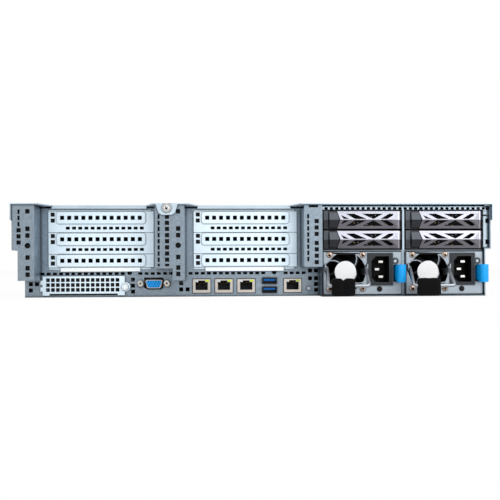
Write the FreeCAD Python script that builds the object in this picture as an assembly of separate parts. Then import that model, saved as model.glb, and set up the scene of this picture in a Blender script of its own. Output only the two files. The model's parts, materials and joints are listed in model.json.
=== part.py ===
"""A 2U rack server seen from its service side, built as separate pieces.

Frame: X runs across the rack, Y from the rear face (-Y) to the front bezel (+Y), Z is up.
The origin is at the middle of the footprint, on the surface that the chassis stands on.
All lengths are in millimetres.
"""
import FreeCAD, Part
import math
import os

V = FreeCAD.Vector

# ---------------------------------------------------------------- driving sizes: the case
COVER_WIDTH = 447.5        # over the side lips of the top cover
TOTAL_HEIGHT = 87.0        # two rack units, less the gap that a rack needs
LOWER_WIDTH = 434.0        # body between the slide rails
CHASSIS_LENGTH = 760.0     # rear edge of the cover to the front of the rack ears
SHEET = 1.0                # chassis sheet
COVER_SHEET = 1.0
COVER_GAP = 0.35           # between the cover lip and the side wall
COVER_REST = 0.3           # between the cover and the rim under it
RAIL_LEDGE_Z = 44.1        # underside of the step above the slide rail
COVER_LIP = 15.5           # height of the cover's side lips
RIM = 6.0                  # inward rim at the top of the side walls
PANEL_RECESS = 26.0        # rear cover edge to the port panel
COLUMN_SET = 1.4           # rear cover edge to the faces of the columns
MODULE_SET = 5.0           # rear cover edge to the faces of the drives and supplies
SLIDE_GAP = 0.3            # running clearance beside a sliding module
FACE_GAP = 0.3             # between pieces on different bodies

# ---------------------------------------------------------------- driving sizes: the rear
PANEL_TOP_Z = 84.4
COLUMN_FOOT_Z = 16.2       # lowest point of the left column, and of the corner cut below it
LEFT_COLUMN_RIGHT = -202.0
MIDDLE_COLUMN_LEFT = -92.7
MIDDLE_COLUMN_STEP = -76.5
MIDDLE_COLUMN_RIGHT = -65.5
RIGHT_COLUMN_LEFT = 45.4
RIGHT_COLUMN_RIGHT = 62.4
BAY_CENTRES = (-146.5, -9.6)
SLOT_PITCH = 20.32         # expansion slot pitch
SLOT_COUNT = 3
TOP_SLOT_Z = 71.45         # middle of the top slot
SLOT_COVER_WIDTH = 98.8
SLOT_COVER_GAP = 0.5       # joint line between two covers
BAY_WIDTH = 104.9
BAY_FOOT_Z = 24.4
HOLE = 3.9                 # square ventilation hole
SLIT = (3.8, 2.8)          # width and height of a ventilation slit
SLIT_PITCH = 5.8
EMBOSS = 0.8               # how far a formed panel stands out

# ---------------------------------------------------------------- driving sizes: the modules
DRIVE_WIDTH = 73.2
DRIVE_HEIGHT = 17.1
DRIVE_LENGTH = 104.0
DRIVE_X = (100.9, 178.5)
DRIVE_Z = (71.7, 53.2)
LEVER_SWING = 60.0
SUPPLY_WIDTH = 73.2
SUPPLY_HEIGHT = 39.6
SUPPLY_LENGTH = 185.0
SUPPLY_X = (100.5, 178.9)
SUPPLY_FOOT_Z = 2.1
FAN_BORE = 18.6            # radius of the opening in a supply's fan guard
FAN_OFFSET = -15.5         # fan axis from the middle of a supply
FAN_AXIS_Z = 23.0
HUB_RADIUS = 10.4
INLET_OFFSET = 16.8        # middle of the power inlet from the middle of a supply
INLET_Z = 25.4
INLET_BODY = (24.0, 30.2, 22.0)
INLET_CAVITY = (16.8, 24.4, 16.0)
BAIL_WIRE = 2.8
BAIL_WIDTH = 35.6          # between the middles of the legs
BAIL_PIVOT_Z = 27.2
BAIL_BAR_Z = 7.9
BAIL_REACH = 18.0          # from the rear cover edge to the middle of the bar
BAIL_BEND = 2.0
STRAP_WIDTH = 20.6
STRAP_HEIGHT = 14.4
STRAP_FELT = 1.5

# ---------------------------------------------------------------- driving sizes: the front
EAR_WIDTH = 482.6          # over the rack ears
EAR_SHEET = 3.0
EAR_HOLE_SPAN = 465.1
EAR_HOLE_RISE = 76.2
EAR_HOLE = 3.4             # radius
BEZEL_REACH = 28.0
BEZEL_WALL = 2.5
BEZEL_STUD = 2.0           # radius of the stud on each ear that the bezel pulls off
BEZEL_STUD_X = 222.0
FRONT_CAGE_LENGTH = 190.0
CARRIER_COLUMNS = 4
CARRIER_ROWS = 3
CARRIER_WIDTH = 103.0
CARRIER_HEIGHT = 26.0
CARRIER_GAP = 0.5
CAGE_SHEET = 1.0
FAN_SIZE = 80.0
FAN_DEPTH = 38.0
FAN_COUNT = 4
FAN_PITCH = 105.0
COVER_SPLIT = 260.0        # front edge of the ears back to the joint between the two covers

# ---------------------------------------------------------------- driving sizes: the board
BOARD_Z = 1.9
BOARD_THICKNESS = 1.6
BOARD_LENGTH = 420.0

# ---------------------------------------------------------------- places worked out from them
HANDLE_REACH = BAIL_REACH + BAIL_WIRE / 2 + STRAP_FELT
TOTAL_LENGTH = HANDLE_REACH + CHASSIS_LENGTH + BEZEL_REACH
Y_REAR = HANDLE_REACH - TOTAL_LENGTH / 2
Y_FRONT = Y_REAR + CHASSIS_LENGTH
Y_PANEL = Y_REAR + PANEL_RECESS
Y_COLUMN = Y_REAR + COLUMN_SET
Y_MODULE = Y_REAR + MODULE_SET
Y_TRAY_FRONT = Y_FRONT - EAR_SHEET
Y_SPLIT = Y_FRONT - COVER_SPLIT
HALF_COVER = COVER_WIDTH / 2
HALF_LOWER = LOWER_WIDTH / 2
HALF_WALL = HALF_COVER - COVER_SHEET - COVER_GAP
RIM_Z = TOTAL_HEIGHT - COVER_SHEET - COVER_REST
BOARD_TOP = BOARD_Z + BOARD_THICKNESS


# ---------------------------------------------------------------- small helpers
def box(x0, x1, y0, y1, z0, z1):
    """A block between two corners."""
    return Part.makeBox(x1 - x0, y1 - y0, z1 - z0, V(x0, y0, z0))


def rod_x(radius, x0, x1, y, z):
    return Part.makeCylinder(radius, x1 - x0, V(x0, y, z), V(1, 0, 0))


def rod_y(radius, x, y0, y1, z):
    return Part.makeCylinder(radius, y1 - y0, V(x, y0, z), V(0, 1, 0))


def rod_z(radius, x, y, z0, z1):
    return Part.makeCylinder(radius, z1 - z0, V(x, y, z0), V(0, 0, 1))


def polygon_xz(points, y):
    """A closed outline in a plane that faces the rear."""
    loop = [V(x, y, z) for x, z in points]
    return Part.makePolygon(loop + loop[:1])


def rect_xz(x, z, width, height, y):
    """A rectangle about its middle, in a plane that faces the rear."""
    a, b = width / 2, height / 2
    return polygon_xz([(x - a, z - b), (x + a, z - b), (x + a, z + b), (x - a, z + b)], y)


def span_xz(x0, x1, z0, z1, y):
    """A rectangle between two corners, in a plane that faces the rear."""
    return polygon_xz([(x0, z0), (x1, z0), (x1, z1), (x0, z1)], y)


def circle_xz(x, z, radius, y):
    return Part.Wire(Part.makeCircle(radius, V(x, y, z), V(0, 1, 0)))


def round_rect_xz(x, z, width, height, corner, y):
    """A rectangle with rounded corners, as four lines and four quarter arcs."""
    a, b = width / 2 - corner, height / 2 - corner
    edges = []
    for turn, (sx, sz) in enumerate(((1, 1), (-1, 1), (-1, -1), (1, -1))):
        cx, cz = x + sx * a, z + sz * b
        start = math.radians(90 * turn)
        ends = [start, start + math.pi / 4, start + math.pi / 2]
        edges.append(Part.Arc(*[V(cx + corner * math.cos(t), y, cz + corner * math.sin(t))
                                for t in ends]).toShape())
    lines = [Part.makeLine(edges[i].Vertexes[-1].Point, edges[(i + 1) % 4].Vertexes[0].Point)
             for i in range(4)]
    return Part.Wire([edge for pair in zip(edges, lines) for edge in pair])


def plate(outer, holes, thickness):
    """A flat sheet that faces the rear: an outline with its holes, thickened towards the front."""
    face = Part.makeFace([outer] + list(holes), "Part::FaceMakerBullseye")
    return face.extrude(V(0, thickness, 0))


def prism_y(points, y0, y1):
    """An outline across the chassis, run from y0 to y1."""
    return Part.Face(polygon_xz(points, y0)).extrude(V(0, y1 - y0, 0))


def prism_z(points, z0, z1):
    """A plan outline, raised from z0 to z1."""
    loop = [V(x, y, z0) for x, y in points]
    return Part.Face(Part.makePolygon(loop + loop[:1])).extrude(V(0, 0, z1 - z0))


def prism_x(points, x0, x1):
    """A side outline of (y, z) points, run from x0 to x1."""
    loop = [V(x0, y, z) for y, z in points]
    return Part.Face(Part.makePolygon(loop + loop[:1])).extrude(V(x1 - x0, 0, 0))


def join(shapes):
    """Fuse touching or overlapping shapes into one clean solid."""
    first, rest = shapes[0], shapes[1:]
    return first.fuse(rest).removeSplitter() if rest else first


def row(start, pitch, count):
    return [start + pitch * i for i in range(count)]


def moved(shape, x=0.0, y=0.0, z=0.0):
    copy = shape.copy()
    copy.translate(V(x, y, z))
    return copy


NODES = {}


def keep(name, solids):
    """Name one node: a single shape, or a list of separate solids."""
    NODES[name] = Part.makeCompound(solids) if isinstance(solids, list) else solids


# ---------------------------------------------------------------- case
def chassis_tray():
    """Bent sheet tray: floor, side walls stepped out above the slide rails, and top rims."""
    low, high, t = HALF_LOWER, HALF_WALL, SHEET
    right = [(low, 0), (low, RAIL_LEDGE_Z), (high, RAIL_LEDGE_Z), (high, RIM_Z),
             (high - RIM, RIM_Z), (high - RIM, RIM_Z - t), (high - t, RIM_Z - t),
             (high - t, RAIL_LEDGE_Z + t), (low - t, RAIL_LEDGE_Z + t), (low - t, t)]
    left = [(-x, z) for x, z in reversed(right)]
    tray = prism_y(right + left, Y_COLUMN + SHEET, Y_TRAY_FRONT)
    port_corner = box(-high - 1, RIGHT_COLUMN_RIGHT, Y_REAR, Y_PANEL, -1, COLUMN_FOOT_Z)
    rail_holes = [rod_x(RAIL_HOLE, side * low - 2, side * low + 2, y, RAIL_HOLE_Z)
                  for side in (-1, 1) for y in RAIL_HOLE_Y]
    tray = tray.cut([port_corner] + rail_holes)
    pads = [box(x - STANDOFF, x + STANDOFF, y - STANDOFF, y + STANDOFF, t, BOARD_Z)
            for x in STANDOFF_X for y in STANDOFF_Y]
    keep("chassis_tray", join([tray] + pads))


RAIL_HOLE = 2.25
RAIL_HOLE_Z = 22.0
RAIL_HOLE_Y = (Y_FRONT - 100.0, Y_FRONT - 500.0)
STANDOFF = 4.0
STANDOFF_X = (-195.0, 40.0)
STANDOFF_Y = (Y_PANEL + 25.0, Y_PANEL + 205.0, Y_PANEL + 395.0)


def cover_shell(y0, y1, notches=()):
    """A cover with side lips; each notch is a plan outline cut out of its top sheet."""
    a, t, top = HALF_COVER, COVER_SHEET, TOTAL_HEIGHT
    lip = top - COVER_LIP
    outline = [(-a, lip), (-a, top), (a, top), (a, lip), (a - t, lip), (a - t, top - t),
               (t - a, top - t), (t - a, lip)]
    shell = prism_y(outline, y0, y1)
    return shell.cut(list(notches)) if notches else shell


COVER_NOTCH = 22.0         # how far the cover's rear edge steps back over the slot bays
NOTCH_SLOPE = 8.0
COVER_HEM = 3.2            # turned-down edge of each notch
LATCH_X = 0.0
LATCH_Y = Y_SPLIT - 70.0
LATCH_PLATE = (56.0, 88.0)
LATCH_WELL = 6.0
LATCH_SHEET = 3.0
LATCH_PIN = 1.5


def top_cover():
    """Sliding cover: notched rear edge, a screw tab, and a well for its latch."""
    top = TOTAL_HEIGHT
    wells, hems = [], []
    for centre in BAY_CENTRES:
        x0, x1 = centre - BAY_WIDTH / 2, centre + BAY_WIDTH / 2
        back = Y_REAR + COVER_NOTCH
        plan = [(x0, Y_REAR - 1), (x0 + NOTCH_SLOPE, back), (x1 - NOTCH_SLOPE, back), (x1, Y_REAR - 1)]
        wells.append(prism_z(plan, top - 2 * COVER_SHEET, top + 1))
        hems.append(box(x0 + NOTCH_SLOPE, x1 - NOTCH_SLOPE, back, back + COVER_SHEET,
                        top - COVER_HEM, top - COVER_SHEET / 2))
    width, length = LATCH_PLATE[0] + 4 * FACE_GAP, LATCH_PLATE[1] + 4 * FACE_GAP
    x0, y0 = LATCH_X - width / 2, LATCH_Y - length / 2
    wells.append(box(x0, x0 + width, y0, y0 + length, top - 2 * COVER_SHEET, top + 1))
    shell = cover_shell(Y_REAR, Y_SPLIT - FACE_GAP, wells)
    t = COVER_SHEET
    tray = box(x0 - t, x0 + width + t, y0 - t, y0 + length + t, top - LATCH_WELL - t, top - t / 2)
    tray = tray.cut(box(x0, x0 + width, y0, y0 + length, top - LATCH_WELL, top + 1))
    pin = rod_x(LATCH_PIN, x0 - t / 2, x0 + width + t / 2, y0 + LATCH_AXLE, top - LATCH_DROP)
    tab_left, tab_right = SCREW_X - TAB_WIDTH / 2, SCREW_X + TAB_WIDTH / 2
    foot = top - TAB_HEIGHT
    tab = plate(polygon_xz([(tab_left, top), (tab_left + TAB_TAPER, foot + 2), (tab_left + 6, foot),
                            (tab_right - 6, foot), (tab_right - TAB_TAPER, foot + 2),
                            (tab_right, top)], Y_REAR),
                [circle_xz(SCREW_X, SCREW_Z, SCREW_SHANK, Y_REAR)], COVER_SHEET)
    keep("top_cover", join([shell, tray, pin, tab] + hems))


LATCH_AXLE = 6.0           # latch axle from the rear edge of its well
LATCH_DROP = 3.4           # latch axle below the top of the cover
SCREW_X = -81.7
SCREW_Z = 82.6
TAB_WIDTH = 21.0
TAB_TAPER = 3.0
TAB_HEIGHT = 10.8
SCREW_SHANK = 1.7
SCREW_HEAD = 3.8


def cover_screw():
    """Screw captive in the cover's rear tab."""
    head = rod_y(SCREW_HEAD, SCREW_X, Y_REAR - 1.6, Y_REAR, SCREW_Z)
    shank = rod_y(SCREW_SHANK, SCREW_X, Y_REAR, Y_REAR + 6.0, SCREW_Z)
    keep("cover_screw", join([head, shank]))


def cover_latch():
    """Flush latch plate that turns about the axle in the cover's well."""
    x0, y0 = LATCH_X - LATCH_PLATE[0] / 2, LATCH_Y - LATCH_PLATE[1] / 2
    axle_y = y0 - 2 * FACE_GAP + LATCH_AXLE
    axle_z = TOTAL_HEIGHT - LATCH_DROP
    top = TOTAL_HEIGHT - 0.2
    blade = box(x0, x0 + LATCH_PLATE[0], axle_y, y0 + LATCH_PLATE[1], top - LATCH_SHEET, top)
    grip = box(LATCH_X - 14, LATCH_X + 14, y0 + LATCH_PLATE[1] - 16, y0 + LATCH_PLATE[1] - 6,
               top - LATCH_SHEET - 1, top + 1)
    barrel = rod_x(LATCH_DROP - 1.0, x0, x0 + LATCH_PLATE[0], axle_y, axle_z)
    bore = rod_x(LATCH_PIN + 0.2, x0 - 1, x0 + LATCH_PLATE[0] + 1, axle_y, axle_z)
    keep("cover_latch", join([blade.cut(grip), barrel]).cut(bore))


def front_top_cover():
    """Fixed cover over the front drive cage."""
    keep("front_top_cover", cover_shell(Y_SPLIT, Y_TRAY_FRONT))


# ---------------------------------------------------------------- rear sheet metal
def port_windows(y):
    """Every window in the port panel, so that each matches what shows through it."""
    gap = FACE_GAP
    windows = [span_xz(centre - BAY_WIDTH / 2 + 4.0, centre + BAY_WIDTH / 2 - 4.0,
                       BAY_FOOT_Z + 1.6, PANEL_TOP_Z - 1.0, y) for centre in BAY_CENTRES]
    windows.append(rect_xz(NET_X, NET_Z, NET_WIDTH - 8, NET_HEIGHT - 5, y))
    windows.append(rect_xz(VGA_X, VGA_Z, VGA_WINDOW[0], VGA_WINDOW[1], y))
    windows += [rect_xz(x, LAN_Z, LAN_SIZE[0] + 2 * gap, LAN_SIZE[1] + 2 * gap, y) for x in LAN_X]
    windows += [rect_xz(USB_X, z, USB_SIZE[0] + 2 * gap, USB_SIZE[1] + 2 * gap, y) for z in USB_Z]
    windows.append(circle_xz(UID_X, UID_Z, UID_RADIUS + gap, y))
    squares = ([(x, 12.7) for x in (-211.5, -205.8)] + [(-211.5, 6.8)]
               + [(-115.6, z) for z in (16.5, 10.8, 5.1)]
               + [(-69.9, 13.0), (-69.9, 7.0), (-63.7, 7.0)]
               + [(54.0, 24.4), (54.0, 17.0)] + [(59.8, z) for z in (24.4, 17.0, 11.4, 5.8)])
    windows += [rect_xz(x, z, HOLE - 0.1, HOLE - 0.1, y) for x, z in squares]
    rows = row(-200.6, SLIT_PITCH, 14) + row(-108.5, SLIT_PITCH, 6)
    rows += row(-60.8, SLIT_PITCH, 13) + row(30.4, SLIT_PITCH, 4)
    windows += [rect_xz(x, SLIT_ROW_Z, SLIT[0], SLIT[1] - 0.3, y) for x in rows]
    windows += [circle_xz(x, SLIT_ROW_Z + 0.8, 2.2, y) for x in (-118.7, 19.4)]
    return windows


SLIT_ROW_Z = 22.3
NET_X = -161.8
NET_Z = 10.9
NET_WIDTH = 77.0
NET_HEIGHT = 18.2
NET_HOLES = (15, 3)
NET_PITCH = 4.63
VGA_X = -95.9
VGA_Z = 13.3
VGA_WINDOW = (18.4, 10.2)
VGA_POST_SPAN = 24.99
LAN_X = (-50.3, -29.0, -7.7, 37.0)
LAN_Z = 10.15
LAN_SIZE = (16.8, 12.9, 16.0)
USB_X = 14.8
USB_Z = (14.8, 6.15)
USB_SIZE = (13.3, 5.2, 14.0)
UID_X = 52.6
UID_Z = 7.3
UID_RADIUS = 1.6
UID_TRAVEL = 1.0


def rear_io_panel():
    """Recessed port panel with its windows and vent rows, and a turned foot on the tray."""
    face = plate(span_xz(SHEET - HALF_LOWER, RIGHT_COLUMN_RIGHT, SHEET, PANEL_TOP_Z, Y_PANEL),
                 port_windows(Y_PANEL), SHEET)
    keep("rear_io_panel", face)


def column_line(x, y, zs, dimple_z):
    """The holes and the one round dimple down the inner edge of a column."""
    return [rect_xz(x, z, 3.9, 4.2, y) for z in zs] + [circle_xz(x, dimple_z, 2.6, y)]


COLUMN_LINE_Z = (79.6, 63.7, 57.6, 37.5, 27.8, 21.9)
DIMPLE_Z = 48.3


def left_column():
    """Folded post beside the left bay, with its ear over the side wall."""
    wall, y = HALF_WALL, Y_COLUMN
    outline = [(-wall, RAIL_LEDGE_Z), (-HALF_LOWER, RAIL_LEDGE_Z), (-HALF_LOWER, COLUMN_FOOT_Z),
               (LEFT_COLUMN_RIGHT, COLUMN_FOOT_Z), (LEFT_COLUMN_RIGHT, RIM_Z), (-wall, RIM_Z)]
    holes = column_line(-208.0, y, COLUMN_LINE_Z, DIMPLE_Z)
    holes += [rect_xz(-216.0, z, 2.0, 4.1, y) for z in (79.3, 73.6, 67.9)]
    holes += [rect_xz(-216.0, z, 3.8, 3.8, y) for z in (62.4, 56.8, 51.2)]
    side = box(LEFT_COLUMN_RIGHT - SHEET, LEFT_COLUMN_RIGHT, y, Y_PANEL - SLOT_STACK,
               COLUMN_FOOT_Z, RIM_Z)
    keep("left_column", join([plate(polygon_xz(outline, y), holes, SHEET), side]))


SLOT_STACK = 0.3           # clearance in front of the port panel


def middle_column():
    """Folded post between the two bays, with a longer foot on one side."""
    y, top = Y_COLUMN, RIM_Z
    foot = COLUMN_FOOT_Z
    outline = [(MIDDLE_COLUMN_LEFT, 27.0), (MIDDLE_COLUMN_STEP, 27.0), (MIDDLE_COLUMN_STEP, foot),
               (MIDDLE_COLUMN_RIGHT, foot), (MIDDLE_COLUMN_RIGHT, top), (MIDDLE_COLUMN_LEFT, top)]
    holes = column_line(-71.3, y, COLUMN_LINE_Z, DIMPLE_Z)
    zs = row(74.6, -5.64, 8)
    holes += [rect_xz(-89.2, z, 2.0, 4.1, y) for z in zs] + [rect_xz(-89.2, 30.2, 2.0, 2.4, y)]
    holes += [rect_xz(-81.5, z, 3.9, 3.9, y) for z in zs] + [rect_xz(-81.5, 30.2, 3.9, 2.4, y)]
    holes.append(circle_xz(SCREW_X, SCREW_Z, SCREW_SHANK + FACE_GAP, y))
    face = plate(polygon_xz(outline, y), holes, SHEET)
    sides = [box(MIDDLE_COLUMN_LEFT, MIDDLE_COLUMN_LEFT + SHEET, y, Y_PANEL - SLOT_STACK, 27.0, top),
             box(MIDDLE_COLUMN_RIGHT - SHEET, MIDDLE_COLUMN_RIGHT, y, Y_PANEL - SLOT_STACK, foot, top)]
    keep("middle_column", join([face] + sides))


def right_column():
    """Folded post between the right bay and the drives, notched at its top."""
    y, foot, top = Y_COLUMN, 28.0, RIM_Z
    left, right = RIGHT_COLUMN_LEFT, RIGHT_COLUMN_RIGHT
    outline = [(left, foot), (right, foot), (right, top), (58.4, top), (58.4, 83.2), (49.7, 83.2),
               (49.7, top), (left, top)]
    holes = [rect_xz(49.1, z, 2.0, 4.1, y) for z in row(75.0, -5.68, 8)]
    holes += [rect_xz(57.0, z, 3.9, 3.9, y) for z in row(70.4, -5.95, 3) + row(50.1, -5.95, 4)]
    face = plate(polygon_xz(outline, y), holes, SHEET)
    sides = [box(left, left + SHEET, y, Y_PANEL - SLOT_STACK, foot, 83.2),
             box(right - SHEET, right, y, Y_PANEL - SLOT_STACK, foot, 83.2)]
    keep("right_column", join([face] + sides))


def slot_cover(with_slits):
    """One expansion slot filler about its own middle: a sheet with a formed, pierced panel."""
    y = Y_PANEL - SHEET
    top = (SLOT_PITCH - SLOT_COVER_GAP) / 2
    foot = -top if with_slits else PANEL_LIFT - 6.3
    holes = [rect_xz(-SLOT_COVER_WIDTH / 2 + 4.0, z, HOLE, HOLE, y) for z in (7.0, 1.3)]
    if with_slits:
        holes += [rect_xz(x, SLIT_DROP, SLIT[0], SLIT[1], y)
                  for x in row(-SLIT_PITCH * 6 + 3.5, SLIT_PITCH, 13)]
    holes.append(rect_xz(0, PANEL_LIFT, 81.0, 8.8, y))
    sheet = plate(span_xz(-SLOT_COVER_WIDTH / 2, SLOT_COVER_WIDTH / 2, foot, top, y), holes, SHEET)
    squares = [rect_xz(x, PANEL_LIFT, HOLE, HOLE, y - EMBOSS)
               for x in row(-SQUARE_PITCH * 5.5, SQUARE_PITCH, 12)]
    formed = plate(round_rect_xz(0, PANEL_LIFT, 83.4, 11.0, 2.6, y - EMBOSS), squares, SHEET)
    return join([sheet, formed])


SQUARE_PITCH = 6.63
PANEL_LIFT = 3.9           # formed panel above the middle of its slot
SLIT_DROP = -5.85          # slit row below it


def slot_covers():
    """Three fillers in each bay; the lowest of each bay has no slit row."""
    upper, lowest = slot_cover(True), slot_cover(False)
    solids = []
    for centre in BAY_CENTRES:
        for index in range(SLOT_COUNT):
            filler = lowest if index == SLOT_COUNT - 1 else upper
            solids.append(moved(filler, x=centre + 1.3, z=TOP_SLOT_Z - SLOT_PITCH * index))
    keep("slot_covers", solids)


CAGE_DEPTH = 190.0         # riser cage, from the panel towards the front
LIP_HEIGHT = 3.7


def riser_cages():
    """One sheet cage behind each bay that holds its riser board, with a formed lip at its foot."""
    solids = []
    for centre in BAY_CENTRES:
        x0, x1 = centre - BAY_WIDTH / 2 + 4.0 + FACE_GAP, centre + BAY_WIDTH / 2 - 4.0 - FACE_GAP
        top, foot = PANEL_TOP_Z - 1.0 - FACE_GAP, BAY_FOOT_Z + 1.6 + FACE_GAP
        windows = [rect_xz(centre + 1.3, TOP_SLOT_Z - SLOT_PITCH * i, 86.0, 16.0, Y_PANEL)
                   for i in range(SLOT_COUNT - 1)]
        windows.append(rect_xz(centre + 1.3, LOWEST_PANEL_Z, 80.0, 8.0, Y_PANEL))
        face = plate(span_xz(x0, x1, foot, top, Y_PANEL), windows, SHEET)
        roof = box(x0, x1, Y_PANEL, Y_PANEL + CAGE_DEPTH, top - SHEET, top)
        side = box(x1 - SHEET, x1, Y_PANEL, Y_PANEL + CAGE_DEPTH, foot, top)
        lip = box(centre - 37.0, centre + 38.0, Y_PANEL - SHEET, Y_PANEL, BAY_FOOT_Z,
                  BAY_FOOT_Z + LIP_HEIGHT)
        solids.append(join([face, roof, side, lip]))
    keep("riser_cages", solids)


LOWEST_PANEL_Z = TOP_SLOT_Z - SLOT_PITCH * (SLOT_COUNT - 1) + PANEL_LIFT


def network_card_cover():
    """Pierced cover of the network card bay, with a round ear for its thumbscrew."""
    y = Y_PANEL - SHEET
    x0, x1 = NET_X - NET_WIDTH / 2, NET_X + NET_WIDTH / 2
    z0, z1 = NET_Z - NET_HEIGHT / 2, NET_Z + NET_HEIGHT / 2
    outline = [(x0, z0), (x0 + 6.3, z0), (x0 + 6.3, z0 + 1.7), (x1 - 6.5, z0 + 1.7), (x1 - 6.5, z0),
               (x1, z0), (x1, z1), (x0, z1), (x0, z1 - 4), (x0 - 2, z1 - 4), (x0 - 2, z1 - 8),
               (x0, z1 - 8), (x0, z0 + 8), (x0 - 2, z0 + 8), (x0 - 2, z0 + 4), (x0, z0 + 4)]
    columns, rows = NET_HOLES
    holes = [rect_xz(x, z, 3.5, 3.5, y)
             for x in row(NET_X + 1.0 - NET_PITCH * (columns + 1) / 2, NET_PITCH, columns)
             for z in row(NET_Z + 1.1 + NET_PITCH, -NET_PITCH, rows)]
    sheet = plate(polygon_xz(outline, y), holes, SHEET)
    ear = rod_y(4.6, x1 + 0.5, y, y + SHEET, NET_Z - 1.2)
    keep("network_card_cover", join([sheet, ear]))


def panel_screws():
    """Thumbscrew of the network card cover, and the two jack posts of the video port."""
    y = Y_PANEL - SHEET
    x = NET_X + NET_WIDTH / 2 + 0.5
    head = rod_y(2.8, x, y - 2.6, y, NET_Z - 1.2)
    solids = [head]
    for side in (-1, 1):
        cx = VGA_X + side * VGA_POST_SPAN / 2
        hexagon = [(cx + 2.7 * math.cos(math.radians(60 * k)), VGA_Z + 2.7 * math.sin(math.radians(60 * k)))
                   for k in range(6)]
        post = prism_y(hexagon, Y_PANEL - 5.0, Y_PANEL)
        solids.append(post.cut(rod_y(1.3, cx, Y_PANEL - 6, Y_PANEL - 0.5, VGA_Z)))
    keep("panel_screws", solids)


def d_outline(width, height, slope, grow, y):
    """The video port's D outline about its middle: a long top edge and sloping ends."""
    a, b = width / 2 + grow, height / 2 + grow
    return polygon_xz([(VGA_X - a, VGA_Z + b), (VGA_X - a + slope, VGA_Z - b),
                       (VGA_X + a - slope, VGA_Z - b), (VGA_X + a, VGA_Z + b)], y)


def vga_connector():
    """Video port: a flanged D shell round an insert with three rows of five sockets."""
    y = Y_PANEL
    rim = plate(d_outline(16.3, 8.3, 1.4, 0.0, y - 5.0), [d_outline(16.3, 8.3, 1.4, -0.5, y - 5.0)],
                5.0 + SHEET + FACE_GAP)
    sockets = [rect_xz(VGA_X + 2.3 * (i - 2) + 1.15 * (k % 2) - 0.55, VGA_Z + 2.0 - 2.0 * k, 1.0, 1.0,
                       y - 4.4) for k in range(3) for i in range(5)]
    insert = plate(d_outline(16.3, 8.3, 1.4, -0.5, y - 4.4), sockets, 3.0)
    core = plate(d_outline(16.3, 8.3, 1.4, -0.5, y - 1.4), [], 1.4 + SHEET + FACE_GAP)
    back = Y_PANEL + SHEET + FACE_GAP
    flange = box(VGA_X - 15.2, VGA_X + 15.2, back, back + 1.2, VGA_Z - 6.2, VGA_Z + 6.2)
    body = box(VGA_X - 10, VGA_X + 10, back + 1.2, back + 9, BOARD_TOP, VGA_Z + 5)
    keep("vga_connector", join([rim, insert, core, flange, body]))


def lan_jacks():
    """Four network jacks, each a shielded box with a keyed socket."""
    w, h, depth = LAN_SIZE
    y = Y_PANEL - 0.6
    solids = []
    for x in LAN_X:
        shell = box(x - w / 2, x + w / 2, y, y + depth, LAN_Z - h / 2, LAN_Z + h / 2)
        low, high = LAN_Z - 3.9, LAN_Z + 3.6
        socket = [(x - 5.9, low), (x + 5.9, low), (x + 5.9, high), (x + 3.2, high), (x + 3.2, high + 1.5),
                  (x - 3.2, high + 1.5), (x - 3.2, high), (x - 5.9, high)]
        solids.append(shell.cut(prism_y(socket, y - 1, y + 13.0)))
    keep("lan_jacks", solids)


def usb_ports():
    """Two stacked serial bus ports: a thin shell round a tongue on its back wall."""
    w, h, depth = USB_SIZE
    y = Y_PANEL - 0.6
    solids = []
    for z in USB_Z:
        shell = plate(rect_xz(USB_X, z, w, h, y), [rect_xz(USB_X, z, w - 0.8, h - 0.8, y)], depth)
        wall = box(USB_X - w / 2 + 0.4, USB_X + w / 2 - 0.4, y + depth - 2, y + depth, z - h / 2 + 0.4,
                   z + h / 2 - 0.4)
        tongue = box(USB_X - 5.6, USB_X + 5.6, y + 1.0, y + depth - 2, z - 0.1, z + 1.75)
        solids.append(join([shell, wall, tongue]))
    keep("usb_ports", solids)


def uid_button():
    """Locator button: a small plunger in the port panel."""
    cap = rod_y(UID_RADIUS, UID_X, Y_PANEL - 1.2, Y_PANEL + UID_STEM, UID_Z)
    keep("uid_button", cap)


UID_STEM = 6.0


# ---------------------------------------------------------------- board and what stands on it
def motherboard():
    """Main board with the switch behind the locator button and two processor sockets."""
    y0, y1 = Y_PANEL + SHEET + 1.0, Y_PANEL + BOARD_LENGTH
    left = SHEET - HALF_LOWER + 1.0
    plan = [(left, y0), (RIGHT_COLUMN_RIGHT - 2.0, y0), (RIGHT_COLUMN_RIGHT - 2.0, y0 + SUPPLY_END),
            (HALF_LOWER - SHEET - 1.0, y0 + SUPPLY_END), (HALF_LOWER - SHEET - 1.0, y1), (left, y1)]
    board = prism_z(plan, BOARD_Z, BOARD_TOP)
    switch = box(UID_X - 3.5, UID_X + 3.5, Y_PANEL + 2.5, Y_PANEL + UID_STEM + UID_TRAVEL + 1.5,
                 BOARD_TOP, UID_Z + 3.2)
    bore = rod_y(UID_RADIUS + FACE_GAP, UID_X, Y_PANEL, Y_PANEL + UID_STEM + UID_TRAVEL + 0.3, UID_Z)
    sockets = [box(x - 38, x + 38, HEATSINK_Y - 38, HEATSINK_Y + 38, BOARD_TOP, BOARD_TOP + 4)
               for x in HEATSINK_X]
    keep("motherboard", join([board, switch.cut(bore)] + sockets))


SUPPLY_END = 200.0
HEATSINK_X = (-105.0, 105.0)
HEATSINK_Y = Y_PANEL + 305.0
HEATSINK = (88.0, 100.0, 56.0)
FIN_COUNT = 11
FIN_SHEET = 1.6


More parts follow.
